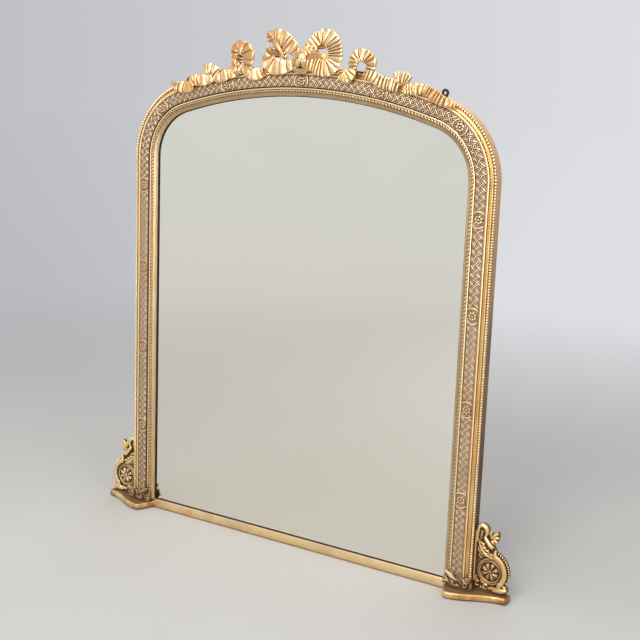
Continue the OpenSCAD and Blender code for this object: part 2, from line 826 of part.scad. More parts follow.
pine_stile_left();
pine_stile_right();
pine_shoulder_left();
pine_shoulder_right();
pine_arch();
bottom_rail();
sight_slip_left();
sight_slip_right();
sight_slip_arch();
rope_left();
rope_right();
rope_arch();
fillets_left();
fillets_right();
fillets_arch();
woven_band_left();
woven_band_right();
woven_band_arch();
cove_left();
cove_right();
cove_arch();
pearls_left();
pearls_right();
pearls_arch();
medallions();
mirror_plate();
plate_blocks();
back_boards();
batten_lower();
batten_upper();
foot_left();
foot_right();
bracket_left();
bracket_right();
bracket_rosette_left();
bracket_rosette_right();
leaves_left();
leaves_right();
crest_tail_left();
crest_loop_left();
crest_bow_left();
crest_knot();
crest_bow_right();
crest_loop_right();
crest_tail_right();
crest_blocks();
wall_plate_left();
wall_plate_right();
wall_plate_screws();
foot_screws();
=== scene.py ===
"""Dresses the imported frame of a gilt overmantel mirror: mouldings, crest, brackets, leaves,
feet, timber, glass and ironwork, with a studio floor, soft lights and a camera."""

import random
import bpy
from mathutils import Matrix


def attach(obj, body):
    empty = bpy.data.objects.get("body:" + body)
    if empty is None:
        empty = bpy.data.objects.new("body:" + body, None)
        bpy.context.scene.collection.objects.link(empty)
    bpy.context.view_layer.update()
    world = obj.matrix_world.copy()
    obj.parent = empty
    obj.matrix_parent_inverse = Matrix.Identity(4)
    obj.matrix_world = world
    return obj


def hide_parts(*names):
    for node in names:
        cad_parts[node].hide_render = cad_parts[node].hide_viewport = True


bl_info = {
    "name": "Gilt Overmantel Mirror",
    "version": (1, 0, 0),
    "blender": (4, 5, 0),
    "location": "3D View > Sidebar > Mirror",
    "description": "Builds the carved and gilded parts of an arched overmantel mirror",
    "category": "Add Mesh",
}

from math import atan2, ceil, cos, pi, radians, sin, sqrt, tau

import bpy
import numpy as np
from bpy.props import FloatProperty, FloatVectorProperty, IntProperty, PointerProperty
from mathutils import Matrix, Vector
from mathutils.bvhtree import BVHTree

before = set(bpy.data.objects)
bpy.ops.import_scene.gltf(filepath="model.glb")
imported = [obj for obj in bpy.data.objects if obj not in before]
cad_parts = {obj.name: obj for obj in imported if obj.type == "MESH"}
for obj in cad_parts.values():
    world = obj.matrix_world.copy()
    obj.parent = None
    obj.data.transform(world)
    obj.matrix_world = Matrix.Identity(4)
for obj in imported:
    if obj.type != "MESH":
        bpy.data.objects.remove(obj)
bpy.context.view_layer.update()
MM = 0.001
BODY = "root"
SILVER_DEPTH = 2.6  # millimetres behind the plate's front, as seen through the glass
SPIRAL_STEP = 2.39996  # golden angle in radians, which spreads rays evenly
TIGHTEST = 0.86  # share of the bend's radius that a strand may reach on its inner side

# Name, place, aim, size, power and colour of each soft light, in metres and watts
LIGHTS = (
    ("key", (0.8, -3.4, 3.6), (0.0, 0.0, 0.8), 1.4, 92, (1.0, 0.98, 0.95)),
    ("left", (-3.6, -1.3, 1.6), (0.0, 0.0, 0.8), 1.8, 16, (1.0, 0.99, 0.97)),
    ("front", (0.6, -3.5, 0.9), (-0.3, 0.0, 0.8), 1.2, 30, (1.0, 0.99, 0.97)),
    ("fill", (3.4, -1.8, 2.2), (0.2, 0.0, 0.8), 1.6, 36, (0.95, 0.97, 1.0)),
    ("top", (0.2, -0.6, 3.6), (0.0, 0.0, 1.0), 1.2, 24, (1.0, 0.98, 0.96)),
    ("back", (-1.0, 3.0, 2.6), (0.0, 0.0, 0.8), 2.0, 20, (1.0, 1.0, 1.0)),
)
FLOOR_RADIUS = 30  # metres
FLOOR_SIDES = 96

# The camera was fitted to the mirror's outline; it looks along the way across both directions
CAMERA_PLACE = (1.9325, -2.9447, 1.428)
CAMERA_RIGHT = (0.84325, 0.53622, 0.03738)
CAMERA_UP = (-0.13895, 0.15028, 0.97883)
LENS, SENSOR = 69.25, 36  # millimetres


# ---- Sizes and colours that a user would change ----

def tint(red, green, blue):
    """A linear colour from the 0 to 255 values of a paint chart."""
    parts = [v / 255 for v in (red, green, blue)]
    return tuple(v / 12.92 if v <= 0.04045 else ((v + 0.055) / 1.055) ** 2.4 for v in parts)


def length(name, millimetres, description):
    """A length that a user can change."""
    return FloatProperty(name=name, description=description, default=millimetres * MM, min=0.0,
                         unit="LENGTH", precision=4)


def colour(name, chart, description):
    """A colour that a user can change."""
    return FloatVectorProperty(name=name, description=description, default=tint(*chart), size=3,
                               min=0.0, max=1.0, subtype="COLOR")


class OvermantelSizes(bpy.types.PropertyGroup):
    """Measures of the frame, the same as the solids'"""

    half_width: length("Half width", 570, "Middle of the mirror to the band's centre line")
    spring_z: length("Spring line", 1140, "Height where the shoulders start to curve")
    shoulder_r: length("Shoulder radius", 190, "Radius of a shoulder on the band's centre line")
    arch_r: length("Arch radius", 1485, "Radius of the arch on the band's centre line")
    frame_depth: length("Frame depth", 44, "Back of the frame to the ground of the band")
    band_w: length("Band width", 31, "Width of the woven band")
    band_crown: length("Band crown", 1.6, "Rise of the band at its middle")
    quirk_w: length("Quirk width", 3, "Width of the quirk on each side of the band")
    fillet_w: length("Fillet width", 4.6, "Width of each bright fillet")
    inner_drop: length("Inner fillet drop", 2.9, "Drop of the inner fillet below the band")
    outer_drop: length("Outer fillet drop", 1.3, "Drop of the outer fillet below the band")
    strip_t: length("Strip depth", 8, "Depth of the gilt strips over the pine")
    rope_w: length("Rope width", 7.4, "Width of the twisted rope")
    slip_w: length("Slip width", 11.4, "Width of the sight slip beside the glass")
    sight_drop: length("Sight drop", 13.8, "Drop of the sight edge below the band")
    sight_t: length("Sight thickness", 4, "Thickness of the sight edge")
    cove_w: length("Cove width", 9.6, "Width of the outer cove")
    pearl_d: length("Pearl diameter", 6.4, "Diameter of the pearls along the outer edge")
    pearl_drop: length("Pearl drop", 11.9, "Drop of the pearls' axis below the band")
    medallion_pitch: length("Medallion pitch", 258, "Distance between medallions")
    medallion_r: length("Medallion radius", 23, "Radius of a medallion's outer ring")
    rail_top: length("Rail height", 29.6, "Height of the bottom rail's top edge")
    rail_lift: length("Rail clearance", 1.5, "Clearance under the bottom rail")
    rail_lip: length("Rail lip", 7, "Height of the lip that holds the plate")
    rebate_w: length("Rebate width", 15, "Width of the rebate that holds the plate")
    foot_t: length("Foot thickness", 20, "Thickness of a foot")
    foot_depth: length("Foot depth", 88, "Back of a foot to its nose")
    foot_out: length("Foot reach", 108, "Reach of a foot past the frame's outer edge")
    foot_end: length("Foot end depth", 34, "Depth of a foot at its outer end")
    foot_toe: length("Foot toe", 15, "Reach of a foot's nose over the front of the rail")
    rail_gap: length("Rail gap", 0.3, "Clearance between a foot and the rail")
    plinth_h: length("Leaf plinth height", 20, "Height of the block under the leaves")
    scroll_r: length("Scroll radius", 55, "Radius of a bracket's large scroll")
    bracket_t: length("Bracket plate", 12, "Thickness of a bracket's plate")
    scroll_rise: length("Scroll rise", 9, "Rise of the scrolls over the plate")
    bracket_back: length("Bracket clearance", 3, "Clearance behind a bracket")
    rosette_r: length("Rosette radius", 27, "Radius of a bracket's rosette")
    ribbon_t: length("Ribbon thickness", 9, "Thickness of the crest's ribbon")
    crest_gap: length("Crest gap", 1, "Clearance between the band and the crest")


class OvermantelDetail(bpy.types.PropertyGroup):
    """Pitch and depth of the carved patterns"""

    strand_w: length("Strap width", 14.65, "Width of one strap of the weave")
    weave_relief: length("Weave relief", 3.2, "Height of the weave's straps")
    rope_pitch: length("Rope pitch", 10.7, "Distance between the lobes of the rope")
    pearl_pitch: length("Pearl pitch", 7.5, "Distance between pearls")
    bead_pitch: length("Bead pitch", 7.5, "Distance between the beads in the cove")
    petals: IntProperty(name="Petals", description="Petals on a bracket's rosette", default=8,
                        min=5, max=12)


class OvermantelColours(bpy.types.PropertyGroup):
    """Colours of the gilding, timber, glass and stage"""

    leaf_ribbon: colour("Ribbon leaf", (232, 184, 122), "Gold leaf on the ribbons")
    leaf_antique: colour("Antique leaf", (255, 232, 200), "Toned leaf on the woven band")
    leaf_ochre: colour("Ochre leaf", (218, 174, 112), "Yellow leaf in the cove")
    leaf_olive: colour("Olive leaf", (198, 172, 134), "Leaf on the slip beside the glass")
    leaf_blush: colour("Pink leaf", (255, 236, 198), "Leaf on the bright fillets")
    bole: colour("Bole", (126, 62, 34), "Red clay that shows where the leaf is rubbed through")
    # Dark colour for painted shade in hollows and creases, as well as old toning and dust.
    soil: colour("Soil", (64, 46, 30), "Old toning and dust in the hollows")
    foot_top: colour("Foot top", (98, 83, 64), "Dusty top of a foot")
    pine: colour("Pine", (196, 158, 108), "Bare pine on the back")
    pine_dark: colour("Pine late wood", (140, 96, 54), "Late wood and old edges of the pine")
    # The dark colour of the crest blocks is painted shadow behind the ribbons.
    wash: colour("Dark wash", (64, 60, 62), "Wash on the crest blocks")
    iron: colour("Iron", (86, 88, 90), "Wall plates and screws")
    silvering: colour("Silvering", (243, 243, 240), "Silver of the mirror plate")
    floor: colour("Floor", (184, 183, 181), "Studio floor")
    air: colour("Surround", (222, 224, 228), "Light of the studio")
    air_left: colour("Surround, left", (182, 184, 188), "Light of the studio to the left")
    air_front: colour("Surround, front", (222, 221, 216), "Light of the studio in front")
    air_side: colour("Surround, right", (110, 110, 114), "Light of the studio to the right")


class Layout:
    """The frame's measures in millimetres, and places along its band."""

    def __init__(self, scene):
        for group in (scene.overmantel_sizes, scene.overmantel_detail):
            for key in type(group).__annotations__:
                value = getattr(group, key)
                setattr(self, key, value if isinstance(value, int) else value / MM)
        self.back = self.foot_depth / 2
        self.band_o = self.band_w / 2
        self.quirk_o = self.band_o + self.quirk_w
        self.fillet_o = self.quirk_o + self.fillet_w
        self.rope_o = -self.fillet_o - self.rope_w
        self.sight_o = self.rope_o - self.slip_w
        self.cove_o = self.fillet_o + self.cove_w
        self.edge_o = self.cove_o + self.pearl_d
        self.rebate_o = self.sight_o + self.rebate_w
        self.ground_t = self.frame_depth - self.strip_t
        self.pearl_t = self.frame_depth - self.pearl_drop
        self.pearl_seat = self.pearl_t - self.pearl_d / 2
        self.sight_top = self.frame_depth - self.sight_drop
        self.rebate_t = self.sight_top - self.sight_t
        self.crest_t = self.frame_depth + self.band_crown + self.crest_gap
        self.relief_t = self.bracket_back + self.bracket_t
        reach = self.half_width - self.shoulder_r
        self.arch_z = self.spring_z - sqrt((self.arch_r - self.shoulder_r) ** 2 - reach ** 2)
        self.join_a = atan2(self.spring_z - self.arch_z, reach)
        self.arch_half = self.arch_r * (pi / 2 - self.join_a)
        self.shoulder_len = self.shoulder_r * self.join_a
        self.leaf_z = self.foot_t + self.plinth_h
        self.outer_x = self.half_width + self.edge_o
        self.rail_x = self.half_width + self.rope_o
        self.plate_z = self.rail_top - self.rail_lip
        self.stretch = self.arch_half / 442

    def place(self, d, o, t):
        """Points at distance d along the band from the top, o outwards and t above the back."""
        d, o, t = np.broadcast_arrays(d, o, t)
        run = np.abs(d)
        a = pi / 2 - run / self.arch_r
        b = self.join_a - (run - self.arch_half) / self.shoulder_r
        arch, shoulder = self.arch_r + o, self.shoulder_r + o
        where = [run <= self.arch_half, b > 0]
        x = np.select(where, [arch * np.cos(a),
                              self.half_width - self.shoulder_r + shoulder * np.cos(b)],
                      self.half_width + o)
        z = np.select(where, [self.arch_z + arch * np.sin(a),
                              self.spring_z + shoulder * np.sin(b)],
                      self.spring_z - (run - self.arch_half - self.shoulder_len))
        return np.stack([np.where(d < 0, -x, x), self.back - t, z], -1) * MM

    def on_arch(self, s, o, t):
        """Points at distance s along the arch, o above the band's centre line."""
        s, o, t = np.broadcast_arrays(s, o, t)
        a = pi / 2 - s * self.stretch / self.arch_r
        r = self.arch_r + o
        return np.stack([r * np.cos(a), self.back - t, self.arch_z + r * np.sin(a)], -1) * MM

    def beside(self, x, z):
        """A mapping for flat relief whose corner is at x and z."""
        def spot(u, v, t):
            u, v, t = np.broadcast_arrays(u, v, t)
            return np.stack([x + u, self.back - t, z + v], -1) * MM
        return spot

    def spans(self, foot):
        """Start and end of the strips on the left, the right and the arch."""
        end = self.arch_half + self.shoulder_len + self.spring_z - foot
        return {"left": (-end, -self.arch_half), "right": (self.arch_half, end),
                "arch": (-self.arch_half, self.arch_half)}


def stations(start, end, step):
    """Even distances from start to end, at most a step apart."""
    return np.linspace(start, end, max(2, ceil((end - start) / step) + 1))


def wander(x, wave, seed):
    """A slow, seeded change between about -1 and 1."""
    draw = random.Random(seed)
    total = sum(np.sin(x * tau / (wave * draw.uniform(0.6, 1.7)) + draw.uniform(0, tau))
                for _ in range(4))
    return total / 2.4


# ---- Forms: closed shells gathered into one mesh ----

class Form:
    """Closed shells with a mark at each point: 0 is proud and rubbed, 1 is deep, darkened by
    painted shade and dirt.
    """

    def __init__(self):
        self.points, self.marks, self.faces, self.total = [], [], [], 0

    def shell(self, points, faces, marks=0.0):
        corners = [np.asarray(f) for f in faces]
        volume = 0.0
        for f in corners:
            a = points[f[:, 0]]
            for k in range(1, f.shape[1] - 1):
                turned = np.cross(points[f[:, k]], points[f[:, k + 1]])
                volume += np.einsum("ij,ij->i", a, turned).sum()
        for f in corners:
            f = f[:, ::-1] if volume < 0 else f
            self.faces += (f + self.total).tolist()
        self.points.append(points)
        self.marks.append(np.broadcast_to(marks, len(points)))
        self.total += len(points)

    def tube(self, rows, marks=0.0):
        """A shell from rows of points, each row going once round; both ends are capped."""
        n, m = rows.shape[:2]
        index = np.arange(n * m).reshape(n, m)
        turned = np.roll(index, -1, axis=1)
        quads = np.stack([index[:-1], turned[:-1], turned[1:], index[1:]], -1).reshape(-1, 4)
        self.shell(rows.reshape(-1, 3), [quads, index[:1, ::-1], index[-1:]],
                   np.broadcast_to(marks, (n, m)).reshape(-1))

    def balls(self, centres, axes, around=10, rings=6, mark=0.1, flank=0.5):
        """Balls at the given centres; axes is one 3 x 3 array of half axes for each."""
        rise = np.linspace(0, pi, rings + 1)[1:-1]
        turn = np.arange(around) / around * tau
        ring = np.stack([np.sin(rise)[:, None] * np.cos(turn), np.sin(rise)[:, None] * np.sin(turn),
                         np.cos(rise)[:, None] + 0 * turn], -1).reshape(-1, 3)
        unit = np.vstack([[0, 0, 1], ring, [0, 0, -1]])
        index = 1 + np.arange((rings - 1) * around).reshape(rings - 1, around)
        turned = np.roll(index, -1, axis=1)
        quads = np.stack([index[:-1], index[1:], turned[1:], turned[:-1]], -1).reshape(-1, 4)
        top = np.stack([np.zeros(around, int), index[0], turned[0]], -1)
        last = len(unit) - 1
        low = np.stack([np.full(around, last), turned[-1], index[-1]], -1)
        points = centres[:, None, :] + np.einsum("pk,nkj->npj", unit, axes)
        step = (np.arange(len(centres)) * len(unit))[:, None, None]
        faces = [(f[None] + step).reshape(-1, f.shape[1]) for f in (quads, top, low)]
        # The back and sides of each ball are marked darker: painted shade.
        marks = mark + flank * np.clip(0.3 - unit[:, 2], 0, 1)
        self.shell(points.reshape(-1, 3), faces, np.tile(marks, len(centres)))

    def slab(self, outline, t0, t1, spot, mark=0.5):
        """A flat outline of (u, v) raised from t0 to t1."""
        u, v = np.array(outline, float).T
        self.tube(np.stack([spot(u, v, t) for t in (t0, t1)]), mark)

    def mesh(self, name):
        mesh = bpy.data.meshes.new(name)
        mesh.from_pydata(np.concatenate(self.points), [], self.faces)
        hollow = mesh.attributes.new("hollow", "FLOAT", "POINT")
        hollow.data.foreach_set("value", np.concatenate(self.marks).astype(np.float32))
        return mesh


def read_points(mesh):
    points = np.empty(len(mesh.vertices) * 3)
    mesh.vertices.foreach_get("co", points)
    return points.reshape(-1, 3)


def read_normals(mesh):
    normals = np.empty(len(mesh.vertices) * 3, np.float32)
    mesh.vertices.foreach_get("normal", normals)
    return normals.reshape(-1, 3).astype(float)


def neighbours(mesh):
    """Both ends of every edge, both ways round, and the number of edges at each point."""
    ends = np.empty(len(mesh.edges) * 2, np.int32)
    mesh.edges.foreach_get("vertices", ends)
    a, b = ends.reshape(-1, 2).T
    a, b = np.concatenate([a, b]), np.concatenate([b, a])
    return a, b, np.maximum(1, np.bincount(a, minlength=len(mesh.vertices)))


def averaged(values, links):
    """The mean over each point's neighbours."""
    a, b, count = links
    values = values.reshape(len(count), -1)
    return np.stack([np.bincount(a, column[b], len(count)) / count for column in values.T], -1)


def read_marks(mesh):
    marks = np.empty(len(mesh.vertices), np.float32)
    mesh.attributes["hollow"].data.foreach_get("value", marks)
    return marks.astype(float)


def write_marks(mesh, marks):
    mesh.attributes["hollow"].data.foreach_set("value", np.clip(marks, 0, 1).astype(np.float32))


def add_piece(name, mesh, material, slot, *nodes, sharp=40):
    """Makes an object of a mesh, rides it on the frame and hides the solids it stands for."""
    mesh.shade_smooth()
    mesh.set_sharp_from_angle(angle=radians(sharp))
    mesh.materials.append(material)
    piece = bpy.data.objects.new(name, mesh)
    bpy.context.scene.collection.objects.link(piece)
    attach(piece, BODY)
    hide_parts(*nodes)


def mirrored(mesh, name):
    """A copy of a mesh for the other side."""
    copy = mesh.copy()
    copy.name = name
    copy.transform(Matrix.Diagonal((-1, 1, 1, 1)))
    copy.flip_normals()
    return copy


def add_pair(right, node, suffix, finish, slot, sharp):
    """Adds a piece on the right and its mirror image on the left."""
    left = mirrored(right, node + "_left")
    for side, mesh in (("right", right), ("left", left)):
        name = f"{node}_{side}"
        add_piece(name + suffix, mesh, finish, slot, name, sharp=sharp)


def fused(form, name, voxel):
    """One skin over overlapping shells, softened as gesso softens carving."""
    holder = bpy.data.objects.new(name, form.mesh(name))
    bpy.context.scene.collection.objects.link(holder)
    remesh = holder.modifiers.new("Gesso", "REMESH")
    remesh.mode = "VOXEL"
    remesh.voxel_size = voxel * MM
    view = bpy.context.evaluated_depsgraph_get()
    mesh = bpy.data.meshes.new_from_object(holder.evaluated_get(view))
    bpy.data.objects.remove(holder)
    mesh.name = name
    links = neighbours(mesh)
    points = read_points(mesh)
    points = 0.45 * points + 0.55 * averaged(points, links)
    mesh.vertices.foreach_set("co", points.ravel())
    mesh.update()
    if "hollow" in mesh.attributes:
        mesh.attributes.remove(mesh.attributes["hollow"])
    mesh.attributes.new("hollow", "FLOAT", "POINT")
    write_marks(mesh, np.zeros(len(points)))
    return mesh


def shade_hollows(meshes, reach, rays=9, gain=1.0):
    """Adds painted shade, with dirt, where other carving closes over a point, and where the surface
    is hollow.
    """
    points, faces, start = [], [], 0
    for mesh in meshes:
        points += [Vector(p) for p in read_points(mesh)]
        faces += [[start + i for i in face.vertices] for face in mesh.polygons]
        start += len(mesh.vertices)
    tree = BVHTree.FromPolygons(points, faces)
    fan = []
    for k in range(rays):
        up = 1 - (k + 0.5) / rays * 0.82
        turn = k * SPIRAL_STEP
        flat = sqrt(1 - up * up)
        fan.append((flat * cos(turn), flat * sin(turn), up))
    fan = np.array(fan)
    for mesh in meshes:
        spots, normals = read_points(mesh), read_normals(mesh)
        helper = np.where(np.abs(normals[:, 2:]) < 0.9, [[0, 0, 1]], [[1, 0, 0]])
        side = np.cross(normals, helper)
        side /= np.maximum(1e-9, np.linalg.norm(side, axis=1))[:, None]
        other = np.cross(normals, side)
        closed = np.zeros(len(spots))
        starts = spots + normals * 0.25 * MM
        for a, b, c in fan:
            ways = side * a + other * b + normals * c
            for i in range(len(spots)):
                gap = tree.ray_cast(starts[i], ways[i], reach * MM)[3]
                if gap is not None:
                    closed[i] += 1 - gap / (reach * MM)
        closed /= rays
        links = neighbours(mesh)
        for _ in range(2):
            closed = 0.5 * closed + 0.5 * averaged(closed, links)[:, 0]
        smooth = spots
        for _ in range(5):
            smooth = averaged(smooth, links)
        dip = np.einsum("ij,ij->i", smooth - spots, normals) / MM
        # Closed-over spots and concave dips both darken the mark: painted shade.
        write_marks(mesh, read_marks(mesh) + gain * 1.7 * closed + 0.9 * dip)


# ---- Strokes: carved strands that follow a row of knots ----

def smooth_path(knots, step):
    """Knots of (u, v, half width, lift) joined by a smooth curve, at even steps."""
    k = np.array([knots[0]] + list(knots) + [knots[-1]], float)
    rows = []
    for a, b, c, d in zip(k, k[1:], k[2:], k[3:]):
        for q in np.arange(16) / 16:
            rows.append((2 * b + (c - a) * q + (2 * a - 5 * b + 4 * c - d) * q ** 2
                         + (3 * b - a - 3 * c + d) * q ** 3) / 2)
    rows = np.array(rows + [k[-1]])
    run = np.concatenate([[0], np.cumsum(np.hypot(*np.diff(rows[:, :2], axis=0).T))])
    at = stations(0, run[-1], step)
    return at, np.stack([np.interp(at, run, column) for column in rows.T], -1)


def pleats(total, pitch, depth, seed):
    """Folds across a ribbon with flat, leaning sides; also the folds' height for its edges."""
    draw = random.Random(seed)
    marks = [-pitch * draw.uniform(0.2, 0.8)]
    while marks[-1] < total + pitch:
        marks.append(marks[-1] + pitch * draw.uniform(0.62, 1.38))
    peak = np.array([draw.uniform(0.28, 0.72) for _ in marks])
    high = np.array([draw.uniform(0.68, 1.12) for _ in marks])
    bend, phase = pitch * draw.uniform(-0.16, 0.16), draw.uniform(0, tau)
    marks = np.array(marks)

    def ridge(s):
        i = np.clip(np.searchsorted(marks, s) - 1, 0, len(marks) - 2)
        q = np.clip((s - marks[i]) / (marks[i + 1] - marks[i]), 0, 1)
        p = np.minimum(q / peak[i], (1 - q) / (1 - peak[i]))
        return p * (1.4 - 0.4 * p * p) * high[i]

    def relief(s, c):
        fold = ridge(s + bend * (c + 0.5 * np.sin(2.4 * c + phase + s / 19)))
        # The second value darkens the pleats' valleys: painted shade.
        return depth * (fold - 1), 0.42 * np.clip(1 - fold / 0.4, 0, 1) ** 1.4
    return relief, ridge


def stroke(form, knots, spot, back, rise, crown, relief=None, lobes=None, step=1.25, count=13,
           undercut=2.6, soil=0.0, edge=1.1):
    """A closed strand: a shaped front across its width, eased edges and an undercut back."""
    s, p = smooth_path(knots, step)
    way = np.gradient(p[:, :2], axis=0)
    way /= np.maximum(1e-6, np.hypot(*way.T))[:, None]
    normal = np.stack([-way[:, 1], way[:, 0]], -1)
    bend = np.cross(way, np.gradient(way, axis=0)) / np.gradient(s)
    bend = np.convolve(np.pad(bend, 3, mode="edge"), np.ones(7) / 7, "valid")
    c = np.sin(np.linspace(-pi / 2, pi / 2, count))[None, :]
    w = p[:, 2:3] + (lobes(s)[:, None] if lobes else 0)
    room = TIGHTEST / np.maximum(1e-6, np.abs(bend))[:, None]
    tight = np.where(np.sign(c) == np.sign(bend)[:, None], np.minimum(w, room), w)
    reach = c * tight
    top = back + rise + p[:, 3:4] - crown * c ** 2
    # The strand's own mark darkens all of it: painted shade where a strand lies in shade.
    marks = np.zeros_like(reach) + soil
    if relief:
        lift, dark = relief(s[:, None], c)
        top, marks = top + lift, marks + dark
    top = np.maximum(top - edge * (1 - np.sqrt(np.clip(1 - c ** 8, 0, 1))), back + 1.2)
    low = np.maximum(top[:, [0, -1]] - 2.2, back + 0.6)
    inward = 1 - undercut / np.maximum(undercut + 1, np.abs(reach[:, [0, -1]]))
    over = np.concatenate([reach, reach[:, -1:], reach[:, -1:] * inward[:, 1:],
                           reach[:, :1] * inward[:, :1], reach[:, :1]], 1)
    high = np.concatenate([top, low[:, 1:], np.full((len(s), 2), back), low[:, :1]], 1)
    # Sides and the undercut back are marked darker: painted shade under the strand.
    marks = np.concatenate([marks, np.full((len(s), 4), 0.55) + soil], 1)
    rows = spot(p[:, :1] + normal[:, :1] * over, p[:, 1:2] + normal[:, 1:] * over, high)
    form.tube(rows, marks)


def arc_knots(centre, r, a0, a1, width, lift=0.0, r_end=None, n=14):
    """Knots along an arc or a spiral, in degrees."""
    r_end = r if r_end is None else r_end
    rows = []
    for q in np.arange(n + 1) / n:
        a, radius = radians(a0 + (a1 - a0) * q), r + (r_end - r) * q
        rows.append((centre[0] + radius * cos(a), centre[1] + radius * sin(a), width, lift))
    return rows


# ---- Finishes ----

class Value:
    """A socket that can stand in sums."""

    def __init__(self, finish, socket):
        self.finish, self.socket = finish, socket

    def math(self, operation, *others, clamp=False):
        return self.finish.node("ShaderNodeMath", {"operation": operation, "use_clamp": clamp},
                                dict(enumerate((self,) + others)))

    def __add__(self, other):
        return self.math("ADD", other)

    def __sub__(self, other):
        return self.math("SUBTRACT", other)

    def __rsub__(self, other):
        return self.finish.node("ShaderNodeMath", {"operation": "SUBTRACT"}, {0: other, 1: self})

    def __mul__(self, other):
        return self.math("MULTIPLY", other)

    __radd__, __rmul__ = __add__, __mul__

    def step(self, low, high):
        """0 below low and 1 above high, eased between."""
        return self.finish.node("ShaderNodeMapRange", {"interpolation_type": "SMOOTHSTEP"},
                                {0: self, 1: low, 2: high})

    def clamp(self):
        return self.math("ADD", 0.0, clamp=True)


class Finish:
    """A material, or the world, built from nodes."""

    def __init__(self, name, world=None):
        self.material = world or bpy.data.materials.new(name)
        self.material.use_nodes = True
        self.tree = self.material.node_tree
        self.tree.nodes.clear()
        self.place = self.node("ShaderNodeTexCoord", out="Generated" if world else "Object")

    def node(self, kind, settings=None, sockets=None, out=0):
        """Adds a node: its settings first, then the values or links of its sockets."""
        node = self.tree.nodes.new(kind)
        for key, value in (settings or {}).items():
            setattr(node, key, value)
        for key, value in (sockets or {}).items():
            if isinstance(value, Value):
                self.tree.links.new(value.socket, node.inputs[key])
            elif hasattr(value, "__len__") and len(value) == 3 and node.inputs[key].type == "RGBA":
                node.inputs[key].default_value = (*value, 1)
            else:
                node.inputs[key].default_value = value
        return Value(self, node.outputs[out]) if node.outputs else None

    def noise(self, scale, detail=3.0, rough=0.55, place=None):
        return self.node("ShaderNodeTexNoise", {}, {
            "Vector": place or self.place, "Scale": scale, "Detail": detail, "Roughness": rough,
        }, "Fac")

    def stretched(self, x, y, z):
        """Object coordinates multiplied along each axis."""
        return self.node("ShaderNodeVectorMath", {"operation": "MULTIPLY"},
                         {0: self.place, 1: (x, y, z)})

    def mix(self, factor, a, b):
        return self.node("ShaderNodeMix", {"data_type": "RGBA"}, {0: factor, 6: a, 7: b}, 2)

    def split(self, vector, axis):
        return self.node("ShaderNodeSeparateXYZ", {}, {0: vector}, axis)

    def hollow(self):
        return self.node("ShaderNodeAttribute", {"attribute_name": "hollow"}, out="Fac")

    def facing(self, axis):
        return self.split(self.node("ShaderNodeNewGeometry", out="Normal"), axis)

    def room(self, way):
        """Colour of the studio along a direction: lighter in front, dim to the right."""
        shades = bpy.context.scene.overmantel_colours
        across = self.split(way, 0)
        colour = self.mix(across.step(-0.95, -0.2), tuple(shades.air_left), tuple(shades.air))
        colour = self.mix((0 - self.split(way, 1)).step(-0.5, 0.6), colour, tuple(shades.air_front))
        return self.mix(across.step(-0.1, 0.95) * 0.75, colour, tuple(shades.air_side))

    def bump(self, height, depth, strength):
        return self.node("ShaderNodeBump", {}, {
            "Height": height, "Distance": depth * MM, "Strength": strength}, "Normal")

    def surface(self, **sockets):
        """The shader: each keyword is a socket's name with _ for a space."""
        named = {key.replace("_", " "): value for key, value in sockets.items()}
        shader = self.node("ShaderNodeBsdfPrincipled", {}, named)
        self.node("ShaderNodeOutputMaterial", {}, {"Surface": shader})
        return self.material


def gilt(name, leaf, bright, rough=0.34, soil=1.0, rub=0.5, cloud=0.5, tone=None, blotch=5,
         grain=1.0, topped=None):
    """Gold leaf over red bole and gesso: rubbed on ridges, toned and dusty in hollows, where
    painted shade also darkens it.
    """
    shades = bpy.context.scene.overmantel_colours
    f = Finish(name)
    hollow = f.hollow()
    patch = f.noise(11, 4, 0.6)
    mottle = f.noise(70, 4, 0.62)
    fleck = f.noise(420, 5, 0.68)
    # The marks, which carry painted shade as well as dirt, are gathered here with random mottling.
    amount = (hollow + (mottle - 0.5) * 0.3 + (fleck - 0.5) * (0.3 * grain)) * soil
    shade_and_grime = amount.step(0.38, 1.0)
    # Bright leaf falls in random patches, and less of it in hollows: painted shade in the hollows.
    polish_and_light = (patch.step(0.35, 0.7) * cloud + (1 - cloud) * 0.5
              + (mottle - 0.5) * 0.6 - hollow * 0.8).clamp()
    metal = f.mix(polish_and_light, leaf, bright)
    if tone:
        metal = f.mix(f.noise(blotch, 2, 0.5).step(0.42, 0.66) * 0.55, metal, tone)
    # The leaf darkened in the hollows: painted shade with toning.
    deep = tuple(v * share for v, share in zip(leaf, (0.6, 0.47, 0.35)))
    metal = f.mix(amount.step(0.06, 0.6) * 0.8, metal, deep)
    wear_and_shade = (fleck.step(0.57, 0.7) * mottle.step(0.46, 0.62) * rub).clamp()
    metal = f.mix(wear_and_shade, metal, tuple(shades.bole))
    # The darkest marks take the dark colour and lose their metal: painted shade with dust.
    colour = f.mix(shade_and_grime, metal, tuple(shades.soil))
    if topped:
        top = f.facing(2).step(0.55, 0.92) * (0.72 + (mottle - 0.5) * 0.7)
        colour = f.mix(top.clamp(), colour, topped)
        shade_and_grime = (shade_and_grime + top).clamp()
    return f.surface(
        Base_Color=colour,
        Metallic=(1 - shade_and_grime * 0.72 - wear_and_shade * 0.6).clamp(),
        Roughness=(rough + shade_and_grime * 0.32 + (mottle - 0.5) * 0.16 + wear_and_shade * 0.15).clamp(),
        Normal=f.bump(mottle * 0.7 + fleck * 0.3, 0.35, 0.55 * grain),
    )


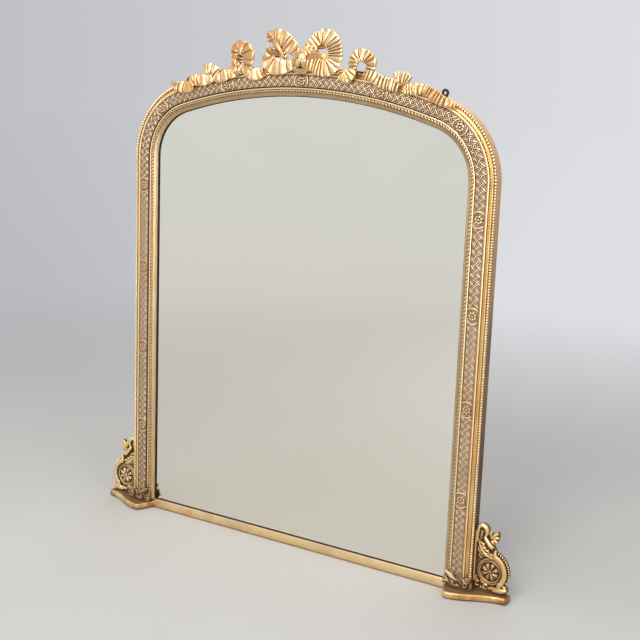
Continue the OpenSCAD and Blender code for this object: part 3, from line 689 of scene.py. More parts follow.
def timber(name, early, late, along="z", rough=0.62, gilded=None):
    """Pine with grain along one axis and old dust; gilded washes the edge that faces outwards, and
    painted shade darkens that edge towards the bottom.
    """
    shades = bpy.context.scene.overmantel_colours
    f = Finish(name)
    thin, lengthwise = 90, 3.2
    scale = {"x": (lengthwise, thin, thin), "z": (thin, thin, lengthwise)}[along]
    grain = f.noise(1.0, 5, 0.6, f.stretched(*scale))
    rings = f.noise(0.22, 3, 0.5, f.stretched(*scale))
    pores = f.noise(7.0, 3, 0.6, f.stretched(*scale))
    stain = f.noise(6, 4, 0.6)
    figure = (rings * 13).math("FRACT").step(0.15, 0.95) * 0.6 + grain.step(0.4, 0.75) * 0.4
    colour = f.mix(figure, early, late)
    colour = f.mix(stain.step(0.45, 0.75) * 0.5, colour, tuple(shades.soil))
    metallic = 0.0
    if gilded:
        outer = (1 - f.facing(1).step(0.3, 0.75)) * (0.9 + (grain - 0.5) * 0.5)
        # Low on the outward edge the colour turns dark brown and loses its metal: painted shade;
        # higher up it is gilt.
        height = (f.split(f.place, 2) + (stain - 0.5) * 0.5).step(0.35, 1.25)
        wear_and_shade = f.mix(height, tint(84, 58, 38), gilded)
        colour = f.mix(outer.clamp(), colour, f.mix(grain.step(0.5, 0.8) * 0.4, wear_and_shade,
                                                    tuple(shades.soil)))
        metallic = outer * 0.6 * height
    return f.surface(
        Base_Color=colour, Metallic=metallic,
        Roughness=(rough + (grain - 0.5) * 0.25).clamp(),
        Normal=f.bump(grain * 0.6 + pores * 0.4, 0.3, 0.6),
    )


def dress(material, *nodes):
    """Gives solids that stay in sight a better material."""
    for name in nodes:
        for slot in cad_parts[name].material_slots:
            slot.material = material


# ---- Operators: one for each piece or group of like pieces ----

class Build:
    """What every operator here shares."""

    bl_options = {"REGISTER", "UNDO"}


class OVERMANTEL_OT_stage(Build, bpy.types.Operator):
    """Adds the pale floor, the soft lights and the camera"""

    bl_idname = "overmantel.stage"
    bl_label = "Stage"

    def execute(self, context):
        scene, shades = context.scene, context.scene.overmantel_colours
        world = scene.world or bpy.data.worlds.new("Studio")
        scene.world = world
        w = Finish("studio", world)
        light = w.node("ShaderNodeBackground", {}, {"Color": w.room(w.place), "Strength": 1.0})
        w.node("ShaderNodeOutputWorld", {}, {"Surface": light})

        f = Finish("studio_floor")
        far = f.node("ShaderNodeVectorMath", {"operation": "LENGTH"}, {0: f.place}, "Value")
        way = f.node("ShaderNodeVectorMath", {"operation": "NORMALIZE"}, {0: f.place})
        pale = f.mix(f.noise(1.5, 3).step(0.4, 0.6) * 0.2, tuple(shades.floor),
                     tuple(v * 0.95 for v in shades.floor))
        ground = f.node("ShaderNodeBsdfPrincipled", {}, {"Base Color": pale, "Roughness": 0.75})
        # Far off, the floor turns into a glow of the surround's colour: painted light that blends
        # it into the backdrop.
        surround_glow = f.node("ShaderNodeEmission", {}, {"Color": f.room(way), "Strength": 1.0})
        mixed = f.node("ShaderNodeMixShader", {}, {0: far.step(0.9, 4.6), 1: ground, 2: surround_glow})
        f.node("ShaderNodeOutputMaterial", {}, {"Surface": mixed})
        radii = np.concatenate([[0.05], np.linspace(0.5, FLOOR_RADIUS, 60)])
        turn = np.arange(FLOOR_SIDES) / FLOOR_SIDES * tau
        rows = np.stack([radii[:, None] * np.cos(turn), radii[:, None] * np.sin(turn),
                         np.full((len(radii), FLOOR_SIDES), -0.0004)], -1)
        under = rows[-1:] - [0, 0, 0.02]
        form = Form()
        form.tube(np.concatenate([rows, under]))
        mesh = form.mesh("floor")
        mesh.materials.append(f.material)
        floor = bpy.data.objects.new("floor", mesh)
        scene.collection.objects.link(floor)

        for name, place, aim, size, power, shade in LIGHTS:
            lamp = bpy.data.lights.new(name, "AREA")
            lamp.energy, lamp.size, lamp.color = power, size, shade
            light = bpy.data.objects.new(name, lamp)
            light.location = place
            light.rotation_euler = (Vector(aim) - Vector(place)).to_track_quat("-Z", "Y").to_euler()
            scene.collection.objects.link(light)

        lens = bpy.data.cameras.new("camera")
        lens.lens, lens.sensor_width = LENS, SENSOR
        camera = bpy.data.objects.new("camera", lens)
        right, up = Vector(CAMERA_RIGHT), Vector(CAMERA_UP)
        turned = Matrix((right, up, right.cross(up))).transposed()
        camera.matrix_world = Matrix.Translation(CAMERA_PLACE) @ turned.to_4x4()
        scene.collection.objects.link(camera)
        scene.camera = camera
        scene.view_settings.view_transform = "Standard"
        return {"FINISHED"}


class OVERMANTEL_OT_slips(Build, bpy.types.Operator):
    """Runs the hollow sight slip round the glass, with painted shade where it meets the plate"""

    bl_idname = "overmantel.slips"
    bl_label = "Sight slips"

    def execute(self, context):
        m, shades = Layout(context.scene), context.scene.overmantel_colours
        finish = gilt("gilt_slip", tuple(shades.leaf_olive), tint(224, 204, 170), 0.42, rub=0.3,
                      tone=tint(206, 174, 116))
        rise = m.ground_t + m.rope_w / 4 - m.sight_top
        a = np.linspace(0, pi / 2, 15)
        o = [m.rope_o, m.rope_o, *(m.rope_o - m.slip_w * 0.86 * np.sin(a)),
             m.sight_o + 2.2, m.sight_o + 1.8, m.sight_o + 1.4, m.sight_o + 0.5, m.sight_o,
             m.sight_o, m.sight_o - 2.3, m.sight_o - 2.4]
        hollow = rise * (1 - np.sin(a / 2) / sin(pi / 4))
        t = [m.rebate_t, m.sight_top + rise, *(m.sight_top + hollow),
             m.sight_top, m.sight_top - 0.9, m.sight_top + 0.3, m.sight_top + 0.1,
             m.sight_top - 0.4, m.sight_top - 0.8, m.rebate_t + 0.4, m.rebate_t]
        # Marks darken the hollow towards the rope, the sight edge and the short lip past it over
        # the glass: painted shade of the gap between slip and plate.
        mark = [0.9, 0.8, *np.linspace(0.75, 0.2, 15) ** 2.6, 0.3, 0.9, 0.0, 0.0, 0.1, 1.0, 1.0,
                1.0]
        for side, span in m.spans(m.rail_top).items():
            d = stations(*span, 4)[:, None]
            form = Form()
            shift = 0.12 * wander(d, 60, 3) * (np.array(t)[None] > m.rebate_t + 1)
            form.tube(m.place(d, np.array(o)[None], np.array(t)[None] + shift),
                      np.array(mark)[None])
            name = "sight_slip_" + side
            add_piece(name + "_gilt", form.mesh(name), finish, "gilt_bright", name)
        return {"FINISHED"}


class OVERMANTEL_OT_ropes(Build, bpy.types.Operator):
    """Twists the rope moulding that stands between the slip and the inner fillet"""

    bl_idname = "overmantel.ropes"
    bl_label = "Ropes"

    def execute(self, context):
        m = Layout(context.scene)
        finish = gilt("gilt_rope", tint(214, 182, 136), tint(238, 212, 170), 0.42, rub=0.2,
                      grain=0.3)
        phi = np.linspace(0, pi, 13)[None, :]
        middle = (m.rope_o - m.fillet_o) / 2
        for side, span in m.spans(m.leaf_z).items():
            d = stations(*span, 0.9)[:, None]
            lobe = np.abs(np.sin(pi * (d / m.rope_pitch + 0.85 * phi / pi)))
            r = m.rope_w / 2 * (0.6 + 0.44 * lobe ** 0.6)
            o = middle - r * np.cos(phi)
            t = m.ground_t + 0.4 + 1.25 * r * np.sin(phi)
            one = np.ones((len(d), 1))
            o = np.concatenate([(m.rope_o + 0.1) * one, o, -m.fillet_o * one], 1)
            t = np.concatenate([m.ground_t * one, t, m.ground_t * one], 1)
            # Hollows between the lobes, the rope's flanks and its edges are marked darker: painted
            # shade.
            mark = np.pad(1.8 * np.clip(0.8 - lobe, 0, 1) + 0.3 * np.abs(np.cos(phi)) ** 4,
                          ((0, 0), (1, 1)), constant_values=1)
            form = Form()
            form.tube(m.place(d, o, t), np.clip(mark, 0, 1))
            name = "rope_" + side
            add_piece(name + "_twisted", form.mesh(name), finish, "gilt_antique", name, sharp=70)
        return {"FINISHED"}


class OVERMANTEL_OT_fillets(Build, bpy.types.Operator):
    """Lays the two bright fillets beside the woven band"""

    bl_idname = "overmantel.fillets"
    bl_label = "Fillets"

    def execute(self, context):
        m, shades = Layout(context.scene), context.scene.overmantel_colours
        finish = gilt("gilt_fillet", tint(252, 218, 164), tuple(shades.leaf_blush), 0.36, rub=0.2,
                      cloud=0.3)
        half = m.fillet_w / 2
        across = np.array([-half, -half, -half + 0.3, -half + 1.0, 0, half - 1.0, half - 0.3,
                           half, half])
        down = np.array([99, 1.2, 0.4, 0.05, -0.15, 0.05, 0.4, 1.2, 99])
        # The fillets' feet in the quirks are marked darker: painted shade.
        mark = np.array([1, 0.3, 0, 0, 0, 0, 0, 0.3, 1])
        for side, span in m.spans(m.leaf_z).items():
            form = Form()
            d = stations(*span, 3.5)[:, None]
            for sign, drop in ((-1, m.inner_drop), (1, m.outer_drop)):
                o = sign * (m.quirk_o + half) + across[None] + 0 * d
                chip = 0.16 * wander(d, 24, 7 + sign) + 0.1 * wander(d, 9, 11 + sign)
                t = np.maximum(m.frame_depth - drop - down[None] - chip, m.ground_t)
                form.tube(m.place(d, o, t), mark[None])
            name = "fillets_" + side
            add_piece(name + "_gilt", form.mesh(name), finish, "gilt_bright", name)
        return {"FINISHED"}


def weave(d, o, width):
    """Height and shade, from 0 to 1, of ribbed straps that cross over and under at 45 degrees."""
    u, v = (d + o) / sqrt(2) / width, (d - o) / sqrt(2) / width
    high = shade = None
    for across, along, sign in ((u, v, 1), (v, u, -1)):
        row = np.round(across)
        c = np.abs(across - row) * 2
        lift = np.clip(2 * sign * np.cos(pi * row) * np.cos(pi * along), -1, 1)
        groove = np.exp(-((c - 0.42) / 0.19) ** 2)
        edge = np.clip((c - 0.74) / 0.26, 0, 1) ** 1.3
        h = 0.56 + 0.24 * lift + 0.2 * np.exp(-(c / 0.2) ** 2) - 0.28 * groove - 0.36 * edge
        s = (1.45 if sign > 0 else 1.2) * groove + 1.7 * edge + 0.42 * (1 - lift)
        if high is None:
            high, shade = h, s
        else:
            high, shade = np.maximum(high, h), np.where(h > high, s, shade)
    return high, np.clip(shade, 0, 1)


class OVERMANTEL_OT_woven_bands(Build, bpy.types.Operator):
    """Carves the woven band between the fillets, with plain ground under each medallion"""

    bl_idname = "overmantel.woven_bands"
    bl_label = "Woven bands"

    def execute(self, context):
        m, shades = Layout(context.scene), context.scene.overmantel_colours
        finish = gilt("gilt_weave", tuple(shades.leaf_antique), tint(255, 240, 214), 0.55,
                      rub=0.1, soil=1.15, grain=0.15, tone=tint(220, 190, 156))
        inner = np.linspace(-m.band_o, m.band_o, 39)
        quirk = np.array([m.quirk_o, m.quirk_o - 0.2, m.quirk_o - 1.2, m.quirk_o - 2.2])
        o = np.concatenate([-quirk, inner, quirk[::-1]])[None]
        base = m.frame_depth - 1 + (1 + m.band_crown) * (1 - (inner / m.band_o) ** 2)
        drop = np.array([99, 5.2, 4.6, 2.6])
        sides = np.maximum(m.ground_t, m.frame_depth - drop)
        outer = np.maximum(m.ground_t, m.frame_depth - drop * 0.72)
        base = np.concatenate([sides, base, outer[::-1]])[None]
        for side, span in m.spans(m.leaf_z).items():
            d = stations(*span, 0.9)[:, None]
            h, shade = weave(d, o, m.strand_w)
            near = np.hypot((d + m.medallion_pitch / 2) % m.medallion_pitch
                            - m.medallion_pitch / 2, o)
            plain = np.clip((near - m.medallion_r - 0.8) / 1.6, 0, 1)
            border = np.clip((m.band_o - np.abs(o)) / 1.2, 0, 1)
            lift = (h - 1) * m.weave_relief * plain * border - 0.6 * (1 - plain) * border
            t = base + np.where(np.abs(o) <= m.band_o, lift, 0)
            # The weave's shade, the ground round each medallion, the band's edges and the quirks
            # are marked darker: painted shade.
            mark = shade * plain + 0.5 * (1 - border) + 0.9 * (1 - plain)
            mark[:, :4], mark[:, -4:] = (1, 1, 0.95, 0.8), (0.35, 0.6, 0.75, 1)
            form = Form()
            form.tube(m.place(d, o + 0 * d, t), np.clip(mark, 0, 1))
            name = "woven_band_" + side
            add_piece(name + "_carved", form.mesh(name), finish, "gilt_antique", name, sharp=80)
        return {"FINISHED"}


class OVERMANTEL_OT_medallions(Build, bpy.types.Operator):
    """Models the thirteen round medallions on the woven band"""

    bl_idname = "overmantel.medallions"
    bl_label = "Medallions"

    def execute(self, context):
        m = Layout(context.scene)
        finish = gilt("gilt_medallion", tint(214, 182, 146), tint(250, 226, 190), 0.48, rub=0.3)
        run, clear = m.spans(m.leaf_z)["right"][1], 50
        count = int((run - clear) // m.medallion_pitch)
        turn = np.arange(96) / 96 * tau
        limit = np.minimum(m.medallion_r + 1,
                           (m.band_o - 0.2) / np.maximum(1e-3, np.abs(np.sin(turn))))
        share = np.concatenate([np.linspace(0.02, 1, 44), [1.0]])[:, None]
        r = share * limit[None]
        swirl = turn[None] * 7 / tau + 0.035 * r
        petal = np.abs(swirl % 1 - 0.5) * 2
        h = 2.7 * np.sqrt(np.clip(1 - (r / 3.3) ** 2, 0, 1))
        reach = np.clip((r - 4.4) / 9.4, 0, 1)
        h = np.maximum(h, 2.1 * np.sin(pi * reach) ** 0.7
                       * np.sqrt(np.clip(1 - (petal * 1.1) ** 2, 0, 1)))
        for middle, width, rise in ((16.0, 1.5, 1.6), (m.medallion_r - 1.6, 2.7, 2.4)):
            h = np.maximum(h, rise * np.sqrt(np.clip(1 - ((r - middle) / width) ** 2, 0, 1)))
        # Low parts and the groove inside the ring are marked darker: painted shade.
        mark = np.clip(1.15 - h * 0.6, 0, 1)
        h -= 1.0 * np.exp(-((r - 18.3) / 0.8) ** 2)
        mark = np.clip(mark + 0.7 * np.exp(-((r - 18.6) / 1.1) ** 2), 0, 1)
        across, along = r * np.sin(turn), r * np.cos(turn)
        base = m.frame_depth - 1.1 + (1 + m.band_crown) * (1 - (across / m.band_o) ** 2)
        t = base + h
        t[-1] = m.frame_depth - 1.4
        form = Form()
        for i in range(-count, count + 1):
            form.tube(m.place(i * m.medallion_pitch + along, across, t), mark)
        add_piece("medallions_carved", form.mesh("medallions"), finish, "gilt_antique",
                  "medallions", sharp=75)
        return {"FINISHED"}


class OVERMANTEL_OT_coves(Build, bpy.types.Operator):
    """Runs the outer cove, with its row of small beads and its narrow lip"""

    bl_idname = "overmantel.coves"
    bl_label = "Coves"

    def execute(self, context):
        m, shades = Layout(context.scene), context.scene.overmantel_colours
        finish = gilt("gilt_cove", tuple(shades.leaf_ochre), tint(244, 218, 160), 0.42, rub=0.4,
                      tone=tint(200, 154, 94))
        top = m.frame_depth - m.outer_drop - 2.4
        a = np.radians(np.linspace(8, 74, 14))
        o = [m.cove_o, m.fillet_o, m.fillet_o, *(m.cove_o - m.cove_w * np.cos(a)),
             m.cove_o - 2.1, m.cove_o - 1.5, m.cove_o - 0.8, m.cove_o - 0.2, m.cove_o]
        t = [m.pearl_seat, m.ground_t, top, *(m.pearl_t + (top - m.pearl_t) * (1 - np.sin(a))),
             m.pearl_t + 0.6, m.pearl_t + 1.3, m.pearl_t + 1.4, m.pearl_t + 1.0, m.pearl_t]
        # The cove is marked darker beside the fillet and at the pearls' seat: painted shade in the
        # corners.
        mark = [1, 1, 0.8, *np.interp(np.arange(14), [0, 2, 5, 8, 13], [0.5, 0.45, 0.2, 0.08, 0.1]),
                0.2, 0.0, 0.0, 0.4, 1]
        for side, span in m.spans(m.leaf_z).items():
            form = Form()
            d = stations(*span, 4)[:, None]
            form.tube(m.place(d, np.array(o)[None], np.array(t)[None] + 0.1 * wander(d, 50, 5)),
                      np.array(mark)[None])
            n = int((span[1] - span[0]) / m.bead_pitch)
            at = span[0] + (np.arange(n) + 0.5) * (span[1] - span[0]) / n
            level = m.pearl_t + (top - m.pearl_t) * (1 - sin(acos_share(2.1, m.cove_w)))
            centre = m.place(at, np.full(n, m.fillet_o + 2.1), np.full(n, level))
            ahead = m.place(at + 1, m.fillet_o + 2.1, level) - centre
            out = m.place(at, m.fillet_o + 3.1, level) - centre
            axes = np.stack([ahead * 2.6, out * 2.2, np.tile([[0, -1.9 * MM, 0]], (n, 1))], 1)
            # The beads' backs and sides are marked darker: painted shade.
            form.balls(centre, axes, 10, 6, 0.05)
            name = "cove_" + side
            add_piece(name + "_gilt", form.mesh(name), finish, "gilt_matt", name)
        return {"FINISHED"}


def acos_share(part, whole):
    """The angle on the cove's quarter hollow that lies the given part of its width inwards."""
    return float(np.arccos(1 - part / whole))


class OVERMANTEL_OT_pearls(Build, bpy.types.Operator):
    """Strings the row of oval pearls along the outer edge"""

    bl_idname = "overmantel.pearls"
    bl_label = "Pearls"

    def execute(self, context):
        m = Layout(context.scene)
        finish = gilt("gilt_pearl", tint(250, 220, 164), tint(255, 246, 214), 0.36, rub=0.2)
        middle, level = m.cove_o + 4.9, m.pearl_t + 0.4
        o = np.array([m.cove_o, m.cove_o, m.cove_o + 0.8, m.edge_o - 0.8, m.edge_o, m.edge_o])
        t = m.pearl_seat + np.array([0, 2.2, 2.8, 2.8, 2.2, 0])
        for side, span in m.spans(m.leaf_z).items():
            form = Form()
            d = stations(*span, 8)[:, None]
            # The strip that seats the pearls is marked dark: painted shade in the gaps between
            # them.
            form.tube(m.place(d, o[None], t[None]), 0.75)
            n = round((span[1] - span[0]) / m.pearl_pitch)
            at = span[0] + (np.arange(n) + 0.5) * (span[1] - span[0]) / n
            centre = m.place(at, middle, level)
            ahead = m.place(at + 1, middle, level) - centre
            out = m.place(at, middle + 1, level) - centre
            front = np.tile([[0, -MM, 0]], (n, 1))
            axes = np.stack([ahead * 3.2, out * 4.2, front * 4.4], 1)
            # The pearls' backs and sides are marked darker: painted shade.
            form.balls(centre, axes, 14, 10, 0.0, 0.5)
            name = "pearls_" + side
            add_piece(name + "_row", form.mesh(name), finish, "gilt_antique", name, sharp=80)
        return {"FINISHED"}


class OVERMANTEL_OT_rail(Build, bpy.types.Operator):
    """Makes the bottom rail with its rounded front, lip and tenons"""

    bl_idname = "overmantel.rail"
    bl_label = "Bottom rail"

    def execute(self, context):
        m = Layout(context.scene)
        finish = gilt("gilt_rail", tint(248, 214, 158), tint(255, 244, 212), 0.36, rub=0.6,
                      tone=tint(230, 188, 148), blotch=12)
        low, top, face = m.rail_lift, m.rail_top, m.sight_top
        t = [0, 0, m.rebate_t, m.rebate_t, m.rebate_t + 0.6, m.rebate_t + 1.0, m.rebate_t + 1.5,
             face - 1.8, face - 0.9, face - 0.2, face, face, face, face - 0.4, face - 1.6]
        z = [low, m.plate_z, m.plate_z, top + 2.4, top + 2.4, top + 0.4, top + 0.2,
             top, top - 0.4, top - 1.4, top - 3.2, top - 12, low + 3, low + 1, low]
        # Marks darken the rebate, the lip that shows above the rail's top as a dark line before the
        # glass, and the front towards the floor: painted shade.
        mark = [1, 1, 1, 1, 1, 1, 0, 0, 0, 0, 0.1, 0.15, 0.3, 0.5, 0.8]
        x = stations(-m.rail_x, m.rail_x, 5)[:, None]
        wave = 0.12 * wander(x, 70, 21)
        y = m.back - np.array(t)[None] + wave * (np.array(t)[None] > m.rebate_t + 1.2)
        form = Form()
        form.tube(np.stack(np.broadcast_arrays(x, y, np.array(z)[None]), -1) * MM,
                  np.array(mark)[None])
        tenon = m.half_width + m.rebate_o
        y0, y1, z0, z1 = m.back - m.rebate_t, m.back, m.foot_t, m.plate_z
        ring = np.array([[y0, z0], [y1, z0], [y1, z1], [y0, z1]])
        form.tube(np.array([[[x, *p] for p in ring] for x in (-tenon, tenon)]) * MM, 0.8)
        add_piece("bottom_rail_gilt", form.mesh("bottom_rail"), finish, "gilt_rail", "bottom_rail")
        return {"FINISHED"}


class OVERMANTEL_OT_feet(Build, bpy.types.Operator):
    """Shapes the two serpentine feet with their rounded nosing"""

    bl_idname = "overmantel.feet"
    bl_label = "Feet"

    def plan(self, m, inset):
        notch_x, notch_t = m.rail_x + m.rail_gap, m.sight_top + m.rail_gap
        reach, nose = m.outer_x + m.foot_out, m.half_width - 14
        start = notch_x - m.foot_toe + inset
        rows = [(notch_x, 0), (notch_x, notch_t), (start, notch_t)]
        for u in np.arange(1, 14) / 14:
            rows.append((start + (nose - start) * u,
                         notch_t + (m.foot_depth - inset - notch_t) * (1 - cos(pi * u)) / 2))
        for u in np.linspace(0, 1, 41):
            rows.append((nose + (reach - 6 - inset - nose) * u, m.foot_end - inset
                         + (m.foot_depth - m.foot_end) * (1 + cos(pi * u)) / 2))
        for a in (30, 60):
            rows.append((reach - 6 - inset + 6 * sin(radians(a)),
                         m.foot_end - inset - 5 + 5 * cos(radians(a))))
        return np.array(rows + [(reach - inset, m.foot_end - 5 - inset), (reach - inset, 0)])

    def execute(self, context):
        m, shades = Layout(context.scene), context.scene.overmantel_colours
        finish = gilt("gilt_foot", tint(226, 180, 108), tint(255, 240, 186), 0.38, rub=1.2,
                      cloud=1.3, tone=tint(176, 112, 88), blotch=38, topped=tuple(shades.foot_top))
        # The lowest levels tuck in under the foot and are marked dark: painted shadow where the
        # foot meets the floor.
        levels = [(0, 4.6, 1.0), (2.0, 4.0, 1.0), (3.0, 0.9, 0.8), (4.5, 0, 0.2), (10, 0, 0.0),
                  (14.5, 0.15, 0), (17, 0.7, 0), (18.6, 1.5, 0), (19.6, 2.6, 0.1),
                  (m.foot_t, 4.0, 0.3), (m.foot_t, 9, 0.5)]
        rows, marks = [], []
        for z, inset, mark in levels:
            p = self.plan(m, inset)
            p[[0, 1, -1], 0] = (m.rail_x + m.rail_gap, m.rail_x + m.rail_gap, p[-1, 0])
            wave = 0.25 * wander(p[:, 0], 40, 31) * (p[:, 1] > 40)
            rows.append(np.stack([p[:, 0], m.back - p[:, 1] - wave, np.full(len(p), float(z))], -1))
            near = np.minimum(p[:, 0] - (m.rail_x - m.foot_toe),
                              m.outer_x + m.foot_out - 4 - p[:, 0])
            marks.append(mark + 0.5 * np.clip(1 - near / 20, 0, 1))
        form = Form()
        form.tube(np.array(rows) * MM, np.clip(marks, 0, 1))
        add_pair(form.mesh("foot_right"), "foot", "_gilt", finish, "gilt_foot", 50)
        return {"FINISHED"}


def carved(relief_depth, pitch, slope=0.9, rib=0.9):
    """Relief of a leaf: a raised midrib and veins that sweep outwards and up."""
    def relief(s, c):
        vein = np.abs(np.sin(pi * (s / pitch - slope * np.abs(c))))
        beside = np.clip(np.abs(c) * 3, 0, 1)
        lift = relief_depth * (vein ** 0.7 - 1) * beside
        # The second value darkens the veins: painted shade.
        return lift + rib * np.exp(-(c / 0.16) ** 2), 0.5 * (1 - vein) * beside
    return relief


def shade_by_height(mesh, m, low, high, most=0.75):
    """Darkens the ground of a carving and its side faces with painted shade and dirt, and leaves
    its high strokes bright.
    """
    t = m.back - read_points(mesh)[:, 1] / MM
    rise = np.clip((t - low) / (high - low), 0, 1)
    side = np.clip(1 - 2 * np.abs(read_normals(mesh)[:, 1]), 0, 1)
    write_marks(mesh, np.maximum(most * (1 - rise) ** 1.5, 0.4 * side))


def fluted(depth, count):
    """Relief of folds that run along a strand."""
    def relief(s, c):
        fold = np.abs(np.cos(pi * c * count / 2))
        # The second value darkens the folds' valleys: painted shade.
        return depth * (fold ** 0.7 - 1), 0.5 * (1 - fold) ** 1.4
    return relief


class OVERMANTEL_OT_brackets(Build, bpy.types.Operator):
    """Carves the two scroll brackets, each with its arc of beads"""

    bl_idname = "overmantel.brackets"
    bl_label = "Brackets"

    def execute(self, context):
        m = Layout(context.scene)
        finish = gilt("gilt_bracket", tint(240, 206, 142), tint(255, 240, 190), 0.42,
                      rub=0.6, cloud=0.8, tone=tint(214, 166, 118))
        spot = m.beside(m.outer_x, m.foot_t)
        scroll, crook, bud, eye = (46, m.scroll_r + 7), (20, 176), (56, 160), (50, m.scroll_r + 5)
        ground, high = m.relief_t, m.relief_t + m.scroll_rise
        form = Form()

        def disc(centre, r, n=72):
            a = np.arange(n) / n * tau
            return [(max(0, centre[0] + r * cos(v)), max(0, centre[1] + r * sin(v))) for v in a]

        for outline in (
            disc(scroll, m.scroll_r - 1), disc(crook, 18.4), disc(bud, 13.2),
            [(0, 0), (33, 0), (33, 170), (0, 170)], [(0, 0), (78, 0), (78, 13), (0, 13)],
            [(30, 150), (44, 152), (67, 118), (60, 90), (30, 90)],
            [(56, 168), (64, 179), (68, 177), (68, 163)],
            [(32, 158), (44, 168), (52, 148), (40, 138)],
            [(56, 0), (96, 0), (103, 9), (104, 18), (100, 25.5), (90.5, 30), (70, 24)],
        ):
            form.slab(outline, m.bracket_back, ground - 1, spot)

        def band(knots, rise=m.scroll_rise + 2, crown=2.2, **more):
            stroke(form, knots, spot, ground - 3, rise, crown, undercut=0.6, step=1.3, count=11,
                   **more)

        hook = [(66, 127, 2.4, -1), (63, 119, 4, 0.5)]
        band(hook + arc_knots(scroll, 48.6, 66, -44, 6.8, 1.2)
             + [(78, 18, 6, 0), (66, 11, 4.4, -1)], crown=0.9)
        for r, half, lift, start, end in ((36, 3.0, -5.8, -180, 180), (30.5, 1.8, -4.4, -180, 180)):
            band(arc_knots(eye, r, start, end, half, lift, n=30), crown=1.4)
        for knots in (
            [(7, 140, 3.4, -1), (7.5, 158, 4.2, 0), (8.5, 174, 5, 0.6), (12, 185.5, 5.4, 1),
             (21, 190, 5.4, 1), (31, 185, 5.8, 1), (35.5, 174, 5.6, 0.4), (33, 164, 4.2, -1),
             (28, 157, 2.6, -2.5)],
            [(29, 158, 4.4, -0.5), (38, 147, 5.6, 1.2), (48, 136, 6.4, 1.6), (56, 130.5, 5.2, 0.6)],
            [(60, 9, 3.4, -2), (72, 9, 6, 0), (86, 13, 7.6, 1.4), (98, 16.5, 5.6, 1),
             (103, 19, 2, 0)],
            [(99, 17, 4, -1), (96, 25, 4, -1), (89, 27, 2.6, -2)],
            [(3.4, 172, 3, 0), (3.4, 120, 3, 0), (3.4, 70, 3, 0), (3.8, 24, 3, -1)],
        ):
            band(knots, crown=2.2, relief=fluted(0.9, 3))
        for knots in (
            [(16, 150, 3.4, -4), (17, 162, 4.6, -2.5), (19, 172, 4.4, -2), (20, 178, 2, -2.5)],
            [(12, 148, 3, -4), (15, 134, 5, -1.4), (21, 121, 6, -0.4), (33, 109, 6.4, -0.4),
             (47, 103, 6, -1.4), (60, 98, 3, -3)],
            [(16, 138, 3, -2), (24, 137, 4, 0), (31, 131, 2, -1)],
            [(20, 127, 3.4, -1), (29, 127, 4.2, 0.5), (37, 121, 2, -1)],
            [(29, 118, 3.4, -1), (39, 119, 4.2, 0.4), (47, 114, 2, -1)],
            [(42, 109, 3.2, -1), (51, 111, 3.8, 0.4), (58, 106, 2, -1)],
            [(10, 128, 3.4, -4), (13, 118, 5, -2), (20, 108, 5, -2.5), (30, 100, 3, -3.5)],
            [(13, 104, 3, -4), (18, 98, 4.4, -3), (24, 95, 2, -4)],
            [(22, 10, 4, -4), (32, 8, 5, -3), (42, 6, 3, -4)],
            [(8, 40, 3.4, -4), (10, 28, 5, -3), (18, 22, 4, -3)],
            [(22, 30, 4, -4), (32, 24, 4.6, -3), (44, 22, 3, -4)],
            [(46, 10, 4, -3), (56, 12, 5, -1.5), (66, 16, 3, -2)],
        ):
            band(knots, m.scroll_rise, crown=1.8, relief=carved(2.2, 9.5),
                 lobes=lambda s: 1.2 * np.sin(tau * s / 9.5))
        for knots in (
            [(46, 157, 2.4, -2), (53, 163, 4.6, -1), (60, 170, 5.4, -0.5), (67, 176, 3.4, -2)],
            [(51, 158, 2.4, -2), (60, 160, 4.4, 0), (67, 162, 4.6, -0.4), (71, 161, 2.4, -2)],
            [(51, 154, 2.4, -2), (59, 152, 4.4, 0), (65, 149, 4, -0.8), (68, 146, 2, -2)],
            [(48, 152, 2.4, -2), (54, 146, 3.8, -0.6), (58, 141, 2, -2)],
            [(47, 161, 2.4, -2), (46, 169, 3.8, -1), (48, 176, 2.4, -3)],
        ):
            band(knots, m.scroll_rise, crown=2.6)
        band(arc_knots((15, 17), 8, 70, 330, 3, -3, r_end=4, n=12))
        band(arc_knots((38, 15), 6.5, 20, 260, 2.8, -3, r_end=3.4, n=12))
        right = fused(form, "bracket_right", 0.88)
        # Low ground, side faces and closed-over crevices are darkened: painted shade.
        shade_by_height(right, m, ground, high - 0.5, 0.8)
        shade_hollows([right], 9, gain=0.9)

        row, a = m.scroll_r + 4.4, np.radians(-23 + 6.75 * np.arange(14))
        beads = Form()
        centre = spot(scroll[0] + row * np.cos(a), scroll[1] + row * np.sin(a), ground - 2)
        axes = np.stack([np.stack([np.cos(a), 0 * a, np.sin(a)], -1) * 2.5,
                         np.stack([-np.sin(a), 0 * a, np.cos(a)], -1) * 2.7,
                         np.tile([0, -4.4, 0], (14, 1))], 1) * MM
        # The beads' backs and sides, and the ring under them, are marked darker: painted shade
        # between the beads.
        beads.balls(centre, axes, 16, 10, 0.0, 0.3)
        ring = arc_knots(scroll, m.scroll_r + 1.4, -28, 70, 3.0, 0, n=16)
        stroke(beads, ring, spot, m.bracket_back, 8.5, 0.4, undercut=0.3, step=2, count=5, soil=1)
        strung = beads.mesh("bracket_right_beads")
        pearl = gilt("gilt_bracket_bead", tint(244, 208, 160), tint(255, 244, 216), 0.25, rub=0.2)
        for side in ("right", "left"):
            name = "bracket_" + side
            for mesh, gold, kind in ((right, finish, "_carved"), (strung, pearl, "_beads")):
                mesh = mesh if side == "right" else mirrored(mesh, name + kind)
                add_piece(name + kind, mesh, gold, "gilt_carved", name, sharp=70)
        return {"FINISHED"}


